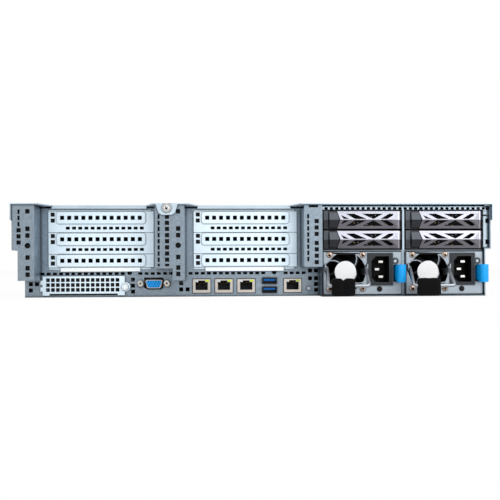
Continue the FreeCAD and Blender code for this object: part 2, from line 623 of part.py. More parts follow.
def heatsinks():
    """Two finned heatsinks; the comb section is run along the air flow."""
    width, length, height = HEATSINK
    base = BOARD_TOP + 4.0
    pitch = (width - FIN_SHEET) / (FIN_COUNT - 1)
    solids = []
    for x in HEATSINK_X:
        left = x - width / 2
        points = [(left, base), (left + width, base)]
        for index in reversed(range(FIN_COUNT)):
            fin = left + pitch * index
            points += [(fin + FIN_SHEET, base + height), (fin, base + height)]
            if index:
                points += [(fin, base + 6.0), (fin - pitch + FIN_SHEET, base + 6.0)]
        solids.append(prism_y(points, HEATSINK_Y - length / 2, HEATSINK_Y + length / 2))
    keep("heatsinks", solids)


DIMM_SIZE = (133.0, 31.0, 1.3)
DIMM_PITCH = 9.0
DIMM_GROUPS = ((-199.0, 4), (-48.0, 4), (21.0, 4), (172.0, 4))


def memory_modules():
    """Sixteen memory modules, each upright in its socket beside a processor."""
    length, height, thick = DIMM_SIZE
    solids = []
    for start, count in DIMM_GROUPS:
        for x in row(start, DIMM_PITCH, count):
            y0, y1 = HEATSINK_Y - length / 2, HEATSINK_Y + length / 2
            socket = box(x - 2.6, x + 2.6, y0 - 4, y1 + 4, BOARD_TOP, BOARD_TOP + 7)
            stick = box(x - thick / 2, x + thick / 2, y0, y1, BOARD_TOP + 3, BOARD_TOP + height)
            solids.append(join([socket, stick]))
    keep("memory_modules", solids)


def riser_cards():
    """The riser board under each cage, standing in its slot on the main board."""
    solids = []
    for centre in BAY_CENTRES:
        x = centre + BAY_WIDTH / 2 - 4.0 - FACE_GAP - SHEET
        y0 = Y_PANEL + 30.0
        card = box(x - 2.0, x - 0.4, y0, y0 + 130.0, BOARD_TOP + 5, PANEL_TOP_Z - 6)
        socket = box(x - 4.8, x + 2.4 - 1.2, y0, y0 + 120.0, BOARD_TOP, BOARD_TOP + 9)
        slots = [box(x - 11.0, x - 2.0, y0 + 15, y0 + 105, z - 3.6, z + 3.6)
                 for z in row(TOP_SLOT_Z - 6, -SLOT_PITCH, SLOT_COUNT)]
        solids.append(join([card, socket] + slots))
    keep("riser_cards", solids)


def air_duct():
    """Moulded duct from the fans over the heatsinks, with a sloping rear edge."""
    y0, y1 = HEATSINK_Y - 84.0, FAN_Y - FACE_GAP
    top, t = 78.0, 2.0
    half = HALF_LOWER - SHEET - 1.5
    side = [(y0, 38.0), (y0 + 22.0, top), (y1, top), (y1, 38.0)]
    roof = [(y0, 38.0), (y0 + 22.0, top), (y1, top), (y1, top - t), (y0 + 23.0, top - t), (y0 + t, 38.0)]
    walls = [prism_x(side, x, x + t) for x in (-half, -t / 2, half - t)]
    legs = [box(x, x + t, y1 - 20.0, y1, BOARD_TOP, 40.0) for x in (-half, -t / 2, half - t)]
    keep("air_duct", join([prism_x(roof, -half, half)] + walls + legs))


FAN_Y = Y_FRONT - 2.0 - FRONT_CAGE_LENGTH - 12.0 - FAN_DEPTH
FAN_BLADES = 5
BLADE_LEAN = 38.0
FAN_HUB = 17.0
FAN_FLOOR = SHEET + 0.1
FAN_AXLE = 2.0


def fan_places():
    return row(-FAN_PITCH * (FAN_COUNT - 1) / 2, FAN_PITCH, FAN_COUNT)


def fan_frames():
    """Four fan housings with a bore, a motor boss on struts, and the axle."""
    half = FAN_SIZE / 2
    z = FAN_FLOOR + half
    solids = []
    for x in fan_places():
        housing = plate(span_xz(x - FAN_PITCH / 2 + 0.4, x + FAN_PITCH / 2 - 0.4, FAN_FLOOR, z + half,
                                FAN_Y), [circle_xz(x, z, half - 2.0, FAN_Y)], FAN_DEPTH)
        struts = [box(x - half + 1.0, x + half - 1.0, FAN_Y, FAN_Y + 3.0, z - 3.0, z + 3.0)]
        axle = rod_y(FAN_AXLE, x, FAN_Y, FAN_Y + FAN_DEPTH - 8.0, z)
        solids.append(join([housing, axle] + struts))
    keep("fan_frames", solids)


def rotor(x, z, y0, depth, hub, tip, bore, blades, lean):
    """A fan rotor: a hub with one flat to each blade, bored for its axle, and leaned blades."""
    sides = 2 * blades
    rim = [(x + hub * math.cos(math.pi * (2 * k + 1) / sides),
            z + hub * math.sin(math.pi * (2 * k + 1) / sides)) for k in range(sides)]
    shapes = [prism_y(rim, y0, y0 + depth)]
    chord = (depth - 4.0) / math.cos(math.radians(lean))
    root = hub * math.cos(math.pi / sides) - 2.0
    for index in range(blades):
        blade = box(x + root, x + tip, y0 + depth / 2 - chord / 2, y0 + depth / 2 + chord / 2,
                    z - 0.7, z + 0.7)
        blade.rotate(V(x, y0 + depth / 2, z), V(1, 0, 0), lean)
        blade.rotate(V(x, y0, z), V(0, 1, 0), 360.0 * index / blades)
        shapes.append(blade)
    return join(shapes).cut(rod_y(bore, x, y0 - 1, y0 + depth + 1, z))


def fan_rotors():
    for number, x in enumerate(fan_places(), 1):
        z = FAN_FLOOR + FAN_SIZE / 2
        keep(f"fan_rotor_{number}",
             rotor(x, z, FAN_Y + 3.0 + FACE_GAP, FAN_DEPTH - 6.0, FAN_HUB, FAN_SIZE / 2 - 4.5,
                   FAN_AXLE + 0.15, FAN_BLADES, BLADE_LEAN))


# ---------------------------------------------------------------- rear drives
VENT_STRIP_Z = (80.9, 85.2)
VENT_HOLE = (3.1, 2.4)
VENT_PITCH = 5.0
CAGE_WALL = 0.8


def rear_drive_cage():
    """Sheet cage with four drive bays and a vented strip turned up over them."""
    y = Y_MODULE + 1.0
    x0, x1 = RIGHT_COLUMN_RIGHT + FACE_GAP, HALF_LOWER - SHEET - 0.1
    z0 = min(DRIVE_Z) - DRIVE_HEIGHT / 2 - SLIDE_GAP - CAGE_WALL
    z1 = max(DRIVE_Z) + DRIVE_HEIGHT / 2 + SLIDE_GAP + CAGE_WALL
    bays = [rect_xz(x, z, DRIVE_WIDTH + 2 * SLIDE_GAP, DRIVE_HEIGHT + 2 * SLIDE_GAP, y)
            for x in DRIVE_X for z in DRIVE_Z]
    core = plate(span_xz(x0, x1, z0, z1, y), bays, DRIVE_LENGTH + 12.0)
    back = box(x0, x1, y + DRIVE_LENGTH + 12.0, y + DRIVE_LENGTH + 13.6, z0, z1)
    holes = [rect_xz(x, 82.6, VENT_HOLE[0], VENT_HOLE[1], y) for x in row(x0 + 4.0, VENT_PITCH, 31)]
    strip = plate(span_xz(x0, x1 + 3.0, z1 - CAGE_WALL, RIM_Z - SHEET - FACE_GAP, y), holes, CAGE_WALL)
    keep("rear_drive_cage", join([core, back, strip]))


LABEL_STRIP = 4.3
BUTTON_LEFT = 5.0
BUTTON_RIGHT = 12.2
BUTTON_TIP = 15.0
LEVER_LEFT = 12.8
LEVER_TIP = 15.6
RIDGE = 4.4
LEVER_SHEET = 1.4
HINGE_INSET = 3.2          # lever axis from the right end of a drive
HINGE_DEPTH = 2.6          # lever axis in front of the module face
BARREL = 3.0
LEVER_PIN = 1.1
CARRIER_FACE = 6.4         # how deep the carrier's plate sits behind its lever
BUTTON_TRAVEL = 1.5


def drive_carrier(x, z):
    """A drive in its carrier: label strip, recessed plate, and lugs with the lever's pin."""
    left, right = x - DRIVE_WIDTH / 2, x + DRIVE_WIDTH / 2
    low, high = z - DRIVE_HEIGHT / 2, z + DRIVE_HEIGHT / 2
    y = Y_MODULE
    body = box(left, right, y + CARRIER_FACE, y + DRIVE_LENGTH, low, high)
    side_cut = box(left - 1, right + 1, y + DRIVE_LENGTH - 12.0, y + DRIVE_LENGTH + 1, low - 1, low + 3.0)
    body = body.cut(side_cut)
    strip = box(left, left + LABEL_STRIP, y, y + CARRIER_FACE, low, high)
    guides = [box(left + LABEL_STRIP, left + BUTTON_RIGHT, y + 2.2, y + CARRIER_FACE, a, b)
              for a, b in ((low, low + 0.7), (high - 0.7, high))]
    axis_x, axis_y = right - HINGE_INSET, y + HINGE_DEPTH
    lugs = []
    for a, b in ((low + 0.1, low + 1.0), (high - 1.0, high - 0.1)):
        lugs.append(box(axis_x - 2.0, axis_x + 2.0, axis_y - 1.6, y + CARRIER_FACE, a, b))
    pin = rod_z(LEVER_PIN, axis_x, axis_y, low + 0.5, high - 0.5)
    return join([body, strip, pin] + guides + lugs)


def lever_window(points, left, z, side):
    """One opening of the lever's lattice, above (side 1) or below (side -1) its ridge."""
    loop = [(left + px, z + side * pz) for px, pz in points]
    return prism_y(loop, Y_MODULE - RIDGE - 2, Y_MODULE + 2)


LATTICE = (
    ((16.7, 3.8), (19.3, 1.0), (23.6, 1.0)),
    ((21.2, 5.4), (29.3, 5.4), (38.6, 1.0), (28.9, 1.0)),
    ((35.8, 5.4), (54.8, 5.4), (46.0, 1.0)),
    ((61.2, 5.4), (68.2, 5.4), (67.4, 4.2), (60.8, 1.0), (55.6, 1.2)),
)


def drive_lever(x, z):
    """Cam lever: a ridged sheet with a pierced lattice, a pointed notch and a hinge barrel."""
    left, right = x - DRIVE_WIDTH / 2, x + DRIVE_WIDTH / 2
    y, t = Y_MODULE, LEVER_SHEET
    axis_x, axis_y = right - HINGE_INSET, y + HINGE_DEPTH
    half = DRIVE_HEIGHT / 2 - 0.3
    roof = prism_x([(y - 0.4, z - half), (y - RIDGE, z), (y - 0.4, z + half), (y - 0.4 + t, z + half),
                    (y - RIDGE + t, z), (y - 0.4 + t, z - half)], left + LEVER_LEFT, axis_x - BARREL + 0.2)
    notch = prism_y([(left + LEVER_LEFT - 1, z - half - 1), (left + LEVER_LEFT, z - half - 1),
                     (left + LEVER_TIP, z), (left + LEVER_LEFT, z + half + 1),
                     (left + LEVER_LEFT - 1, z + half + 1)], y - RIDGE - 1, y + 3)
    facet = prism_z([(axis_x - 8.0, y - RIDGE - 1), (axis_x - 8.0, y - RIDGE), (axis_x + 1, y - 1.6),
                     (axis_x + 1, y - RIDGE - 1)], z - half - 1, z + half + 1)
    windows = [lever_window(points, left, z, side) for points in LATTICE for side in (1, -1)]
    sheet = roof.cut([notch, facet] + windows)
    reach = half - 1.3
    barrel = rod_z(BARREL, axis_x, axis_y, z - reach, z + reach)
    arm = box(axis_x - BARREL - 1.5, axis_x - 1.5, y + 0.4, y + HINGE_DEPTH, z - reach, z + reach)
    bore = rod_z(LEVER_PIN + 0.2, axis_x, axis_y, z - half - 1, z + half + 1)
    lever = join([sheet, barrel, arm]).cut(bore)
    return lever


def drive_button(x, z):
    """Release button at the left end of a lever, pointed like the lever's notch."""
    left = x - DRIVE_WIDTH / 2
    half = DRIVE_HEIGHT / 2 - 1.1
    tip = BUTTON_TIP - (LEVER_TIP - LEVER_LEFT - 2.2)
    outline = [(left + BUTTON_LEFT, z - half), (left + BUTTON_RIGHT, z - half), (left + tip, z),
               (left + BUTTON_RIGHT, z + half), (left + BUTTON_LEFT, z + half)]
    cap = prism_y(outline, Y_MODULE - 3.2, Y_MODULE + 3.4)
    slope = prism_x([(Y_MODULE - 4, z), (Y_MODULE - 3.2, z), (Y_MODULE - 0.4, z + half + 1),
                     (Y_MODULE - 4, z + half + 1)], left, left + BUTTON_TIP + 1)
    dip = prism_x([(Y_MODULE - 4, z), (Y_MODULE - 3.2, z), (Y_MODULE - 0.4, z - half - 1),
                   (Y_MODULE - 4, z - half - 1)], left, left + BUTTON_TIP + 1)
    stem = box(left + BUTTON_LEFT + 1.5, left + BUTTON_RIGHT - 1.5, Y_MODULE + 3.4,
               Y_MODULE + CARRIER_FACE - BUTTON_TRAVEL - 0.2, z - 3, z + 3)
    return join([cap.cut([slope, dip]), stem])


def rear_drives():
    places = [(x, z) for z in DRIVE_Z for x in DRIVE_X]
    for number, (x, z) in enumerate(places, 1):
        keep(f"drive_{number}_carrier", drive_carrier(x, z))
        keep(f"drive_{number}_lever", drive_lever(x, z))
        keep(f"drive_{number}_button", drive_button(x, z))


# ---------------------------------------------------------------- power supplies
def psu_cage():
    """Sheet guides round the two power supplies: roof, floor, left wall and divider."""
    y0, y1 = Y_MODULE + 1.0, Y_MODULE + SUPPLY_LENGTH + 14.0
    x0 = RIGHT_COLUMN_RIGHT + FACE_GAP
    x1 = HALF_LOWER - SHEET - 0.1
    floor_top = SUPPLY_FOOT_Z - SLIDE_GAP
    roof_z = SUPPLY_FOOT_Z + SUPPLY_HEIGHT + SLIDE_GAP
    top = min(DRIVE_Z) - DRIVE_HEIGHT / 2 - SLIDE_GAP - CAGE_WALL - 0.05
    middle = sum(SUPPLY_X) / 2
    openings = []
    for x in SUPPLY_X:
        openings.append(span_xz(x - SUPPLY_WIDTH / 2 - SLIDE_GAP, x + SUPPLY_WIDTH / 2 + SLIDE_GAP,
                                floor_top, roof_z, y0))
    wall = SUPPLY_WIDTH / 2 + SLIDE_GAP
    spine = span_xz(SUPPLY_X[0] + wall + 0.8, SUPPLY_X[1] - wall - 0.8, floor_top + 2, roof_z - 2, y0)
    x1 = max(x1, SUPPLY_X[1] + wall) if SUPPLY_X[1] + wall < x1 else x1
    shell = plate(span_xz(x0, x1, SHEET, top, y0), openings + [spine], y1 - y0)
    strip = box(middle - 2.2, middle + 2.2, y0, y0 + 1.0, floor_top + 1, roof_z - 1)
    sockets = [box(x - 25, x + 25, y1 - 12.0, y1, 8.0, 22.0) for x in SUPPLY_X]
    back = box(x0, x1, y1, y1 + 1.6, SHEET, top)
    keep("psu_cage", join([shell, strip, back] + sockets))


GUARD = 1.0
FAN_WELL = 24.0
ARM = 2.0
ARM_LAG = 19.0             # degrees that a guard arm turns between hub and rim
BAIL_EAR = 0.9


def guard_openings(x, y):
    """The four openings of a fan guard, between swirled arms, a hub disc and the rim."""
    z = FAN_AXIS_Z
    solids = []
    for k in range(4):
        inner_a, outer_a = math.radians(50 + 90 * k - ARM_LAG), math.radians(50 + 90 * k)
        inner_b, outer_b = inner_a + math.pi / 2, outer_a + math.pi / 2
        grow_in, grow_out = ARM / 2 / HUB_RADIUS * 1.25, ARM / 2 / FAN_BORE * 1.25

        def at(radius, angle):
            return V(x + radius * math.cos(angle), y, z + radius * math.sin(angle))
        r0, r1 = HUB_RADIUS, FAN_BORE
        a0, b0 = inner_a + grow_in, inner_b - grow_in
        a1, b1 = outer_a + grow_out, outer_b - grow_out
        inner = Part.Arc(at(r0, a0), at(r0, (a0 + b0) / 2), at(r0, b0)).toShape()
        outer = Part.Arc(at(r1, b1), at(r1, (a1 + b1) / 2), at(r1, a1)).toShape()
        wire = Part.Wire([inner, Part.makeLine(at(r0, b0), at(r1, b1)), outer,
                          Part.makeLine(at(r1, a1), at(r0, a0))])
        solids.append(Part.Face(wire).extrude(V(0, GUARD + 0.2, 0)))
    return solids


def psu_case(x):
    """Supply housing: fan well behind a pierced guard, pockets for inlet and latch, bail ears."""
    left, right = x - SUPPLY_WIDTH / 2, x + SUPPLY_WIDTH / 2
    foot, top = SUPPLY_FOOT_Z, SUPPLY_FOOT_Z + SUPPLY_HEIGHT
    y, fan_x, z = Y_MODULE, x + FAN_OFFSET, FAN_AXIS_Z
    case = box(left, right, y, y + SUPPLY_LENGTH, foot, top)
    well = rod_y(FAN_BORE, fan_x, y + GUARD, y + GUARD + FAN_WELL, z)
    flat = box(fan_x - FAN_BORE, fan_x + FAN_BORE, y, y + GUARD + FAN_WELL + 1, z + 16.4, z + 20)
    well = well.cut(flat)
    openings = [opening.cut(flat) for opening in guard_openings(fan_x, y - 0.1)]
    inlet_x = x + INLET_OFFSET
    pocket = box(inlet_x - INLET_BODY[0] / 2, inlet_x + INLET_BODY[0] / 2, y - 1, y + INLET_BODY[2],
                 INLET_Z - INLET_BODY[1] / 2, INLET_Z + INLET_BODY[1] / 2)
    latch_slot = box(right - LATCH_STEM_EDGE - 1.6 - LATCH_TRAVEL - 0.2, right - LATCH_STEM_EDGE + 0.4, y - 1, y + LATCH_ROOT + 0.6, 13.6, 29.6)
    dots = [rod_y(1.5, x + 31.8, y - 1, y + 1.5, 33.0), rod_y(2.1, x + 16.6, y - 1, y + 3.0, 6.9)]
    connector = box(x - 24.5, x + 24.5, y + SUPPLY_LENGTH - 6, y + SUPPLY_LENGTH + 0.5, foot - 1, 9.0)
    case = case.cut([well, pocket, latch_slot, connector] + openings + dots)
    axle = rod_y(FAN_AXLE, fan_x, y + GUARD, y + GUARD + FAN_WELL, z)
    ears = []
    for side in (-1, 1):
        ex = fan_x + side * (BAIL_WIDTH / 2 + BAIL_WIRE / 2 + 0.2 + BAIL_EAR / 2)
        ear = box(ex - BAIL_EAR / 2, ex + BAIL_EAR / 2, y - 3.4, y + 0.2, BAIL_PIVOT_Z - 3, BAIL_PIVOT_Z + 3)
        ears.append(ear.cut(rod_x(0.9, ex - 2, ex + 2, y - 1.8, BAIL_PIVOT_Z)))
    return join([case, axle] + ears)


LATCH_STEM_EDGE = 3.5      # outer side of the latch stem from the right side of a supply
LATCH_ROOT = 12.0
LATCH_TRAVEL = 2.0


def psu_inlet(x):
    """Power inlet: a flanged block with a cavity, two bevelled corners and three blades."""
    cx, z, y = x + INLET_OFFSET, INLET_Z, Y_MODULE
    w, h, d = INLET_BODY
    body = box(cx - w / 2 + 0.1, cx + w / 2 - 0.1, y - 0.8, y + d - 0.2, z - h / 2 + 0.1, z + h / 2 - 0.1)
    a, b = INLET_CAVITY[0] / 2, INLET_CAVITY[1] / 2
    c = 4.2
    cavity = prism_y([(cx - a + c, z - b), (cx + a, z - b), (cx + a, z + b), (cx - a + c, z + b),
                      (cx - a, z + b - c), (cx - a, z - b + c)], y - 2, y + INLET_CAVITY[2])
    blades = [box(cx + dx - 2.0, cx + dx + 2.0, y + 1.6, y + INLET_CAVITY[2] + 0.5, z + dz - 1.0, z + dz + 1.0)
              for dx, dz in ((1.0, 7.0), (-2.6, 0.0), (1.0, -7.0))]
    return join([body.cut(cavity)] + blades)


def psu_latch(x):
    """Sprung release: a stem in the supply's slot, with a finger tab turned over its outer end."""
    right = x + SUPPLY_WIDTH / 2
    y = Y_MODULE
    stem_out, stem_in = right - LATCH_STEM_EDGE, right - LATCH_STEM_EDGE - 1.6
    plan = [(stem_in, y + LATCH_ROOT), (stem_in, y - 8.0), (stem_in + 4.4, y - 10.0),
            (stem_in + 10.0, y - 6.2), (stem_in + 10.0, y - 4.7), (stem_out, y - 3.2), (stem_out, y + LATCH_ROOT)]
    tab = prism_z(plan, 10.5, 29.9)
    slant = prism_y([(stem_in - 1, 9.0), (stem_in + 12, 9.0), (stem_in + 12, 12.4), (stem_in - 1, 14.8)],
                    y - 12, y + LATCH_ROOT + 1)
    trim = box(stem_in - 1, stem_out + 1, y - 0.2, y + LATCH_ROOT + 1, 28.6, 31)
    foot = box(stem_in - 1, stem_out + 1, y - 0.2, y + LATCH_ROOT + 1, 9, 15.0)
    return tab.cut([slant, trim, foot])


def wire_path(points, radius, bend):
    """A round wire through the points, each inner corner turned in two mitred steps."""
    route = [points[0]]
    for before, corner, after in zip(points, points[1:], points[2:]):
        inward, outward = (before - corner).normalize(), (after - corner).normalize()
        route += [corner + inward * bend, corner + outward * bend]
    route.append(points[-1])
    way = (points[1] - points[0]).normalize()
    circle = Part.Wire(Part.makeCircle(radius, points[0], way))
    pipe = Part.BRepOffsetAPI.MakePipeShell(Part.makePolygon(route))
    pipe.setTransitionMode(1)
    pipe.add(circle)
    pipe.build()
    pipe.makeSolid()
    return pipe.shape()


def psu_handle(x):
    """Wire bail: two legs from the ears on the supply, and a bar across them."""
    fan_x = x + FAN_OFFSET
    a = BAIL_WIDTH / 2
    pivot_y = Y_MODULE - 1.8
    bar_y = Y_REAR - BAIL_REACH
    points = [V(fan_x - a, pivot_y, BAIL_PIVOT_Z), V(fan_x - a, bar_y, BAIL_BAR_Z),
              V(fan_x + a, bar_y, BAIL_BAR_Z), V(fan_x + a, pivot_y, BAIL_PIVOT_Z)]
    bail = wire_path(points, BAIL_WIRE / 2, BAIL_BEND)
    pins = []
    for side in (-1, 1):
        ends = sorted((fan_x + side * a, fan_x + side * (a + BAIL_WIRE / 2 + 0.2 + BAIL_EAR)))
        pins.append(rod_x(0.7, ends[0], ends[1], pivot_y, BAIL_PIVOT_Z))
    return join([bail] + pins)


def psu_strap(x):
    """Felt cable strap folded round the bar of the bail, as a closed band."""
    cx = x + FAN_OFFSET - BAIL_WIDTH / 2 + BAIL_BEND + 0.1 + STRAP_WIDTH / 2
    y, z = Y_REAR - BAIL_REACH, BAIL_BAR_Z
    r_in, r_out = BAIL_WIRE / 2 + 0.05, BAIL_WIRE / 2 + STRAP_FELT
    rise = STRAP_HEIGHT / 2 - r_out
    x0, x1 = cx - STRAP_WIDTH / 2, cx + STRAP_WIDTH / 2
    fold = [rod_x(r_out, x0, x1, y, z + side * rise) for side in (-1, 1)]
    band = join([box(x0, x1, y - r_out, y + r_out, z - rise, z + rise)] + fold)
    return band.cut(box(x0 - 1, x1 + 1, y - r_in, y + r_in, z - rise, z + rise))


def power_supplies():
    for side, x in zip(("left", "right"), SUPPLY_X):
        keep(f"psu_{side}_case", psu_case(x))
        keep(f"psu_{side}_inlet", psu_inlet(x))
        keep(f"psu_{side}_latch", psu_latch(x))
        keep(f"psu_{side}_handle", psu_handle(x))
        keep(f"psu_{side}_strap", psu_strap(x))
        keep(f"psu_{side}_fan",
             rotor(x + FAN_OFFSET, FAN_AXIS_Z, Y_MODULE + GUARD + FACE_GAP, FAN_WELL - 4.0, 9.5,
                   14.5, FAN_AXLE + 0.15, FAN_BLADES, BLADE_LEAN))


# ---------------------------------------------------------------- front
FRONT_CAGE_Z = (SHEET + 0.1, RIM_Z - SHEET - 0.3)


def carrier_places():
    """The middles of the front drive carriers."""
    xs = row(-(CARRIER_WIDTH + 2 * CARRIER_GAP + CAGE_SHEET) * (CARRIER_COLUMNS - 1) / 2,
             CARRIER_WIDTH + 2 * CARRIER_GAP + CAGE_SHEET, CARRIER_COLUMNS)
    middle = sum(FRONT_CAGE_Z) / 2
    pitch = CARRIER_HEIGHT + 2 * CARRIER_GAP
    zs = row(middle - pitch * (CARRIER_ROWS - 1) / 2, pitch, CARRIER_ROWS)
    return [(x, z) for x in xs for z in zs]


def front_drive_cage():
    """Sheet cage with four columns of three drive bays."""
    y = Y_FRONT - FRONT_CAGE_LENGTH - 2.0
    half = (CARRIER_WIDTH + 2 * CARRIER_GAP + CAGE_SHEET) * CARRIER_COLUMNS / 2 + CAGE_SHEET / 2
    columns = sorted({x for x, _ in carrier_places()})
    z0, z1 = FRONT_CAGE_Z
    bays = [span_xz(x - CARRIER_WIDTH / 2 - CARRIER_GAP, x + CARRIER_WIDTH / 2 + CARRIER_GAP,
                    z0 + CAGE_SHEET, z1 - CAGE_SHEET, y) for x in columns]
    cage = plate(span_xz(-half, half, z0, z1, y), bays, FRONT_CAGE_LENGTH)
    keep("front_drive_cage", cage)


def front_drives():
    """Twelve drives in carriers, each with a grooved face and a latch lever over it."""
    y1 = Y_FRONT - 1.0
    y0 = y1 - FRONT_CAGE_LENGTH + 22.0
    solids = []
    for x, z in carrier_places():
        w, h = CARRIER_WIDTH / 2, CARRIER_HEIGHT / 2
        body = box(x - w, x + w, y0, y1, z - h, z + h)
        recess = box(x - w + 3, x + w - 24, y1 - 6.0, y1 + 1, z - h + 2.5, z + h - 2.5)
        lever = box(x - w + 2, x + w - 22, y1 - 6.0, y1, z - 4.0, z + 4.0)
        solids.append(join([body.cut(recess), lever]))
    keep("front_drives", solids)


def drive_backplane():
    """Board behind the front drives, with air openings between its connectors."""
    y = Y_FRONT - 2.0 - FRONT_CAGE_LENGTH + 12.0
    columns = sorted({x for x, _ in carrier_places()})
    z0, z1 = FRONT_CAGE_Z[0] + 1.5, FRONT_CAGE_Z[1] - 1.5
    solids = []
    for x in columns:
        w = CARRIER_WIDTH / 2
        windows = [span_xz(x - w + 8, x + w - 60, z0 + 8, z1 - 8, y)]
        board = plate(span_xz(x - w, x + w, z0, z1, y), windows, 1.6)
        plugs = [box(x + w - 50, x + w - 12, y + 1.6, y + 6.5, z - 3.0, z + 3.0)
                 for cx, z in carrier_places() if cx == x]
        solids.append(join([board] + plugs))
    keep("drive_backplane", solids)


def rack_ears():
    """Flanged brackets on the side walls, with the rack's four screw holes and the bezel pins."""
    y0, y1 = Y_TRAY_FRONT, Y_FRONT
    edge = EAR_WIDTH / 2
    z_mid = TOTAL_HEIGHT / 2
    inner = HALF_LOWER - SHEET
    solids = []
    for side in (-1, 1):
        outline = [(side * inner, 0.6), (side * edge, 0.6), (side * edge, TOTAL_HEIGHT - 0.6),
                   (side * inner, TOTAL_HEIGHT - 0.6)]
        holes = [circle_xz(side * EAR_HOLE_SPAN / 2, z_mid + s * EAR_HOLE_RISE / 2, EAR_HOLE, y0)
                 for s in (-1, 1)]
        if side > 0:
            holes.append(circle_xz(POWER_X, POWER_Z, POWER_RADIUS + FACE_GAP, y0))
        flange = plate(polygon_xz(outline, y0), holes, EAR_SHEET)
        a, b = sorted((side * HALF_LOWER, side * (HALF_LOWER + 1.5)))
        arm = box(a, b, y0 - 60.0, y0, 4.0, RAIL_LEDGE_Z - 1.0)
        pieces = [flange, arm]
        if side > 0:
            switch = box(a, POWER_X + 3.2, y0 - 12.0, y0, POWER_Z - 4.5, POWER_Z + 4.5)
            pieces.append(switch.cut(rod_y(POWER_RADIUS + FACE_GAP, POWER_X, y0 - POWER_STEM - 1.4,
                                           y0 + 1, POWER_Z)))
        pieces.append(rod_y(BEZEL_STUD, side * BEZEL_STUD_X, y0, y1 + 8.0, z_mid))
        solids.append(join(pieces))
    keep("rack_ears", solids)


POWER_X = HALF_LOWER + 4.6
POWER_Z = 30.0
POWER_RADIUS = 2.6
POWER_STEM = 8.0
POWER_TRAVEL = 1.2


def power_button():
    """Power button in the right rack ear."""
    keep("power_button", rod_y(POWER_RADIUS, POWER_X, Y_TRAY_FRONT - POWER_STEM + 1.0, Y_FRONT + 1.4,
                               POWER_Z))


BEZEL_Z = (2.2, TOTAL_HEIGHT - 2.2)
BEZEL_SLOTS = (6, 3)


def front_bezel():
    """Pull-off security bezel: a shallow moulding with a slotted face and two stud bosses."""
    z0, z1 = BEZEL_Z
    y0, y1 = Y_FRONT + FACE_GAP, Y_FRONT + BEZEL_REACH
    edge, t, slope = EAR_WIDTH / 2 - 1.0, BEZEL_WALL, 8.0
    outer = [(-edge, y0), (edge, y0), (edge, y1 - slope), (edge - slope, y1), (slope - edge, y1),
             (-edge, y1 - slope)]
    a, b = edge - t, y1 - t
    inner = [(-a, y0 - 1), (a, y0 - 1), (a, b - slope + t / 2), (a - slope + t / 2, b),
             (slope - t / 2 - a, b), (-a, b - slope + t / 2)]
    shell = prism_z(outer, z0, z1).cut(prism_z(inner, z0 + t, z1 - t))
    columns, rows = BEZEL_SLOTS
    width, rise = (2 * edge - 60.0) / columns, (z1 - z0 - 16.0) / rows
    slots = [rect_xz(30.0 - edge + width * (i + 0.5), z0 + 8.0 + rise * (k + 0.5), width - 6.0,
                     rise - 4.0, y1 - t - 1) for i in range(columns) for k in range(rows)]
    slots = [Part.Face(slot).extrude(V(0, t + 2, 0)) for slot in slots]
    middle = TOTAL_HEIGHT / 2
    bosses = [box(s * BEZEL_STUD_X - 4, s * BEZEL_STUD_X + 4, y0, y1 - t / 2, middle - 4, middle + 4)
              for s in (-1, 1)]
    bores = [rod_y(BEZEL_STUD + FACE_GAP, s * BEZEL_STUD_X, y0 - 1, Y_FRONT + 9.0, middle)
             for s in (-1, 1)]
    keep("front_bezel", join([shell.cut(slots)] + bosses).cut(bores))


# ---------------------------------------------------------------- the whole server
def build():
    chassis_tray()
    top_cover()
    cover_screw()
    cover_latch()
    front_top_cover()
    rear_io_panel()
    left_column()
    middle_column()
    right_column()
    slot_covers()
    riser_cages()
    network_card_cover()
    panel_screws()
    vga_connector()
    lan_jacks()
    usb_ports()
    uid_button()
    motherboard()
    heatsinks()
    memory_modules()
    riser_cards()
    air_duct()
    fan_frames()
    fan_rotors()
    rear_drive_cage()
    rear_drives()
    psu_cage()
    power_supplies()
    front_drive_cage()
    front_drives()
    drive_backplane()
    rack_ears()
    power_button()
    front_bezel()
    os.makedirs("parts", exist_ok=True)
    for name, shape in NODES.items():
        shape.exportStep(f"parts/{name}.step")
    print(len(NODES), "nodes")


build()
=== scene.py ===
# %% [markdown]
# # A rack server, seen from its port side
#
# The sheet metal, the drives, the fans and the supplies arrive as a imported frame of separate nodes.
# This notebook dresses that frame: it gives every node the finish of the real piece, and it adds the small
# things that are too fine or too soft for the solids, such as contacts, screw heads, felt and seals.

# %% Load the frame
import json
import math

import bmesh
import bpy
import numpy as np
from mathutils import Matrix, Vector, geometry


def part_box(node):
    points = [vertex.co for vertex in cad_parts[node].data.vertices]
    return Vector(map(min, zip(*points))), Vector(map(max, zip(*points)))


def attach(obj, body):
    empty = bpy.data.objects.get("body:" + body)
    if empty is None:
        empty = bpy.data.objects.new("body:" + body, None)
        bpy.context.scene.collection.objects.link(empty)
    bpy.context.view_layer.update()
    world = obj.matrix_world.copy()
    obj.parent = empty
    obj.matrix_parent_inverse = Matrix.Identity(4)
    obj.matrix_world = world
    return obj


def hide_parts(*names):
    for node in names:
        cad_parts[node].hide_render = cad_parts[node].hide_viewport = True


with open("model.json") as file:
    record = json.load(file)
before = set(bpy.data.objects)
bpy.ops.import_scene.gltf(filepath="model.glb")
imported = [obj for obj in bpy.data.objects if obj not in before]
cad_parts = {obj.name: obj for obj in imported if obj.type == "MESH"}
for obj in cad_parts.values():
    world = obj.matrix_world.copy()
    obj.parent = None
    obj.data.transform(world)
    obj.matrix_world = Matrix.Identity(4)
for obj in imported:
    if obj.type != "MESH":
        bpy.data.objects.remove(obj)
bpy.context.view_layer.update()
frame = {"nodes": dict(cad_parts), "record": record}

scene = bpy.context.scene
nodes = frame["nodes"]
MM = 0.001


def node_corners(name):
    """The lowest and the highest corner of a node's box, in millimetres."""
    return [np.array(corner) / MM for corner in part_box(name)]


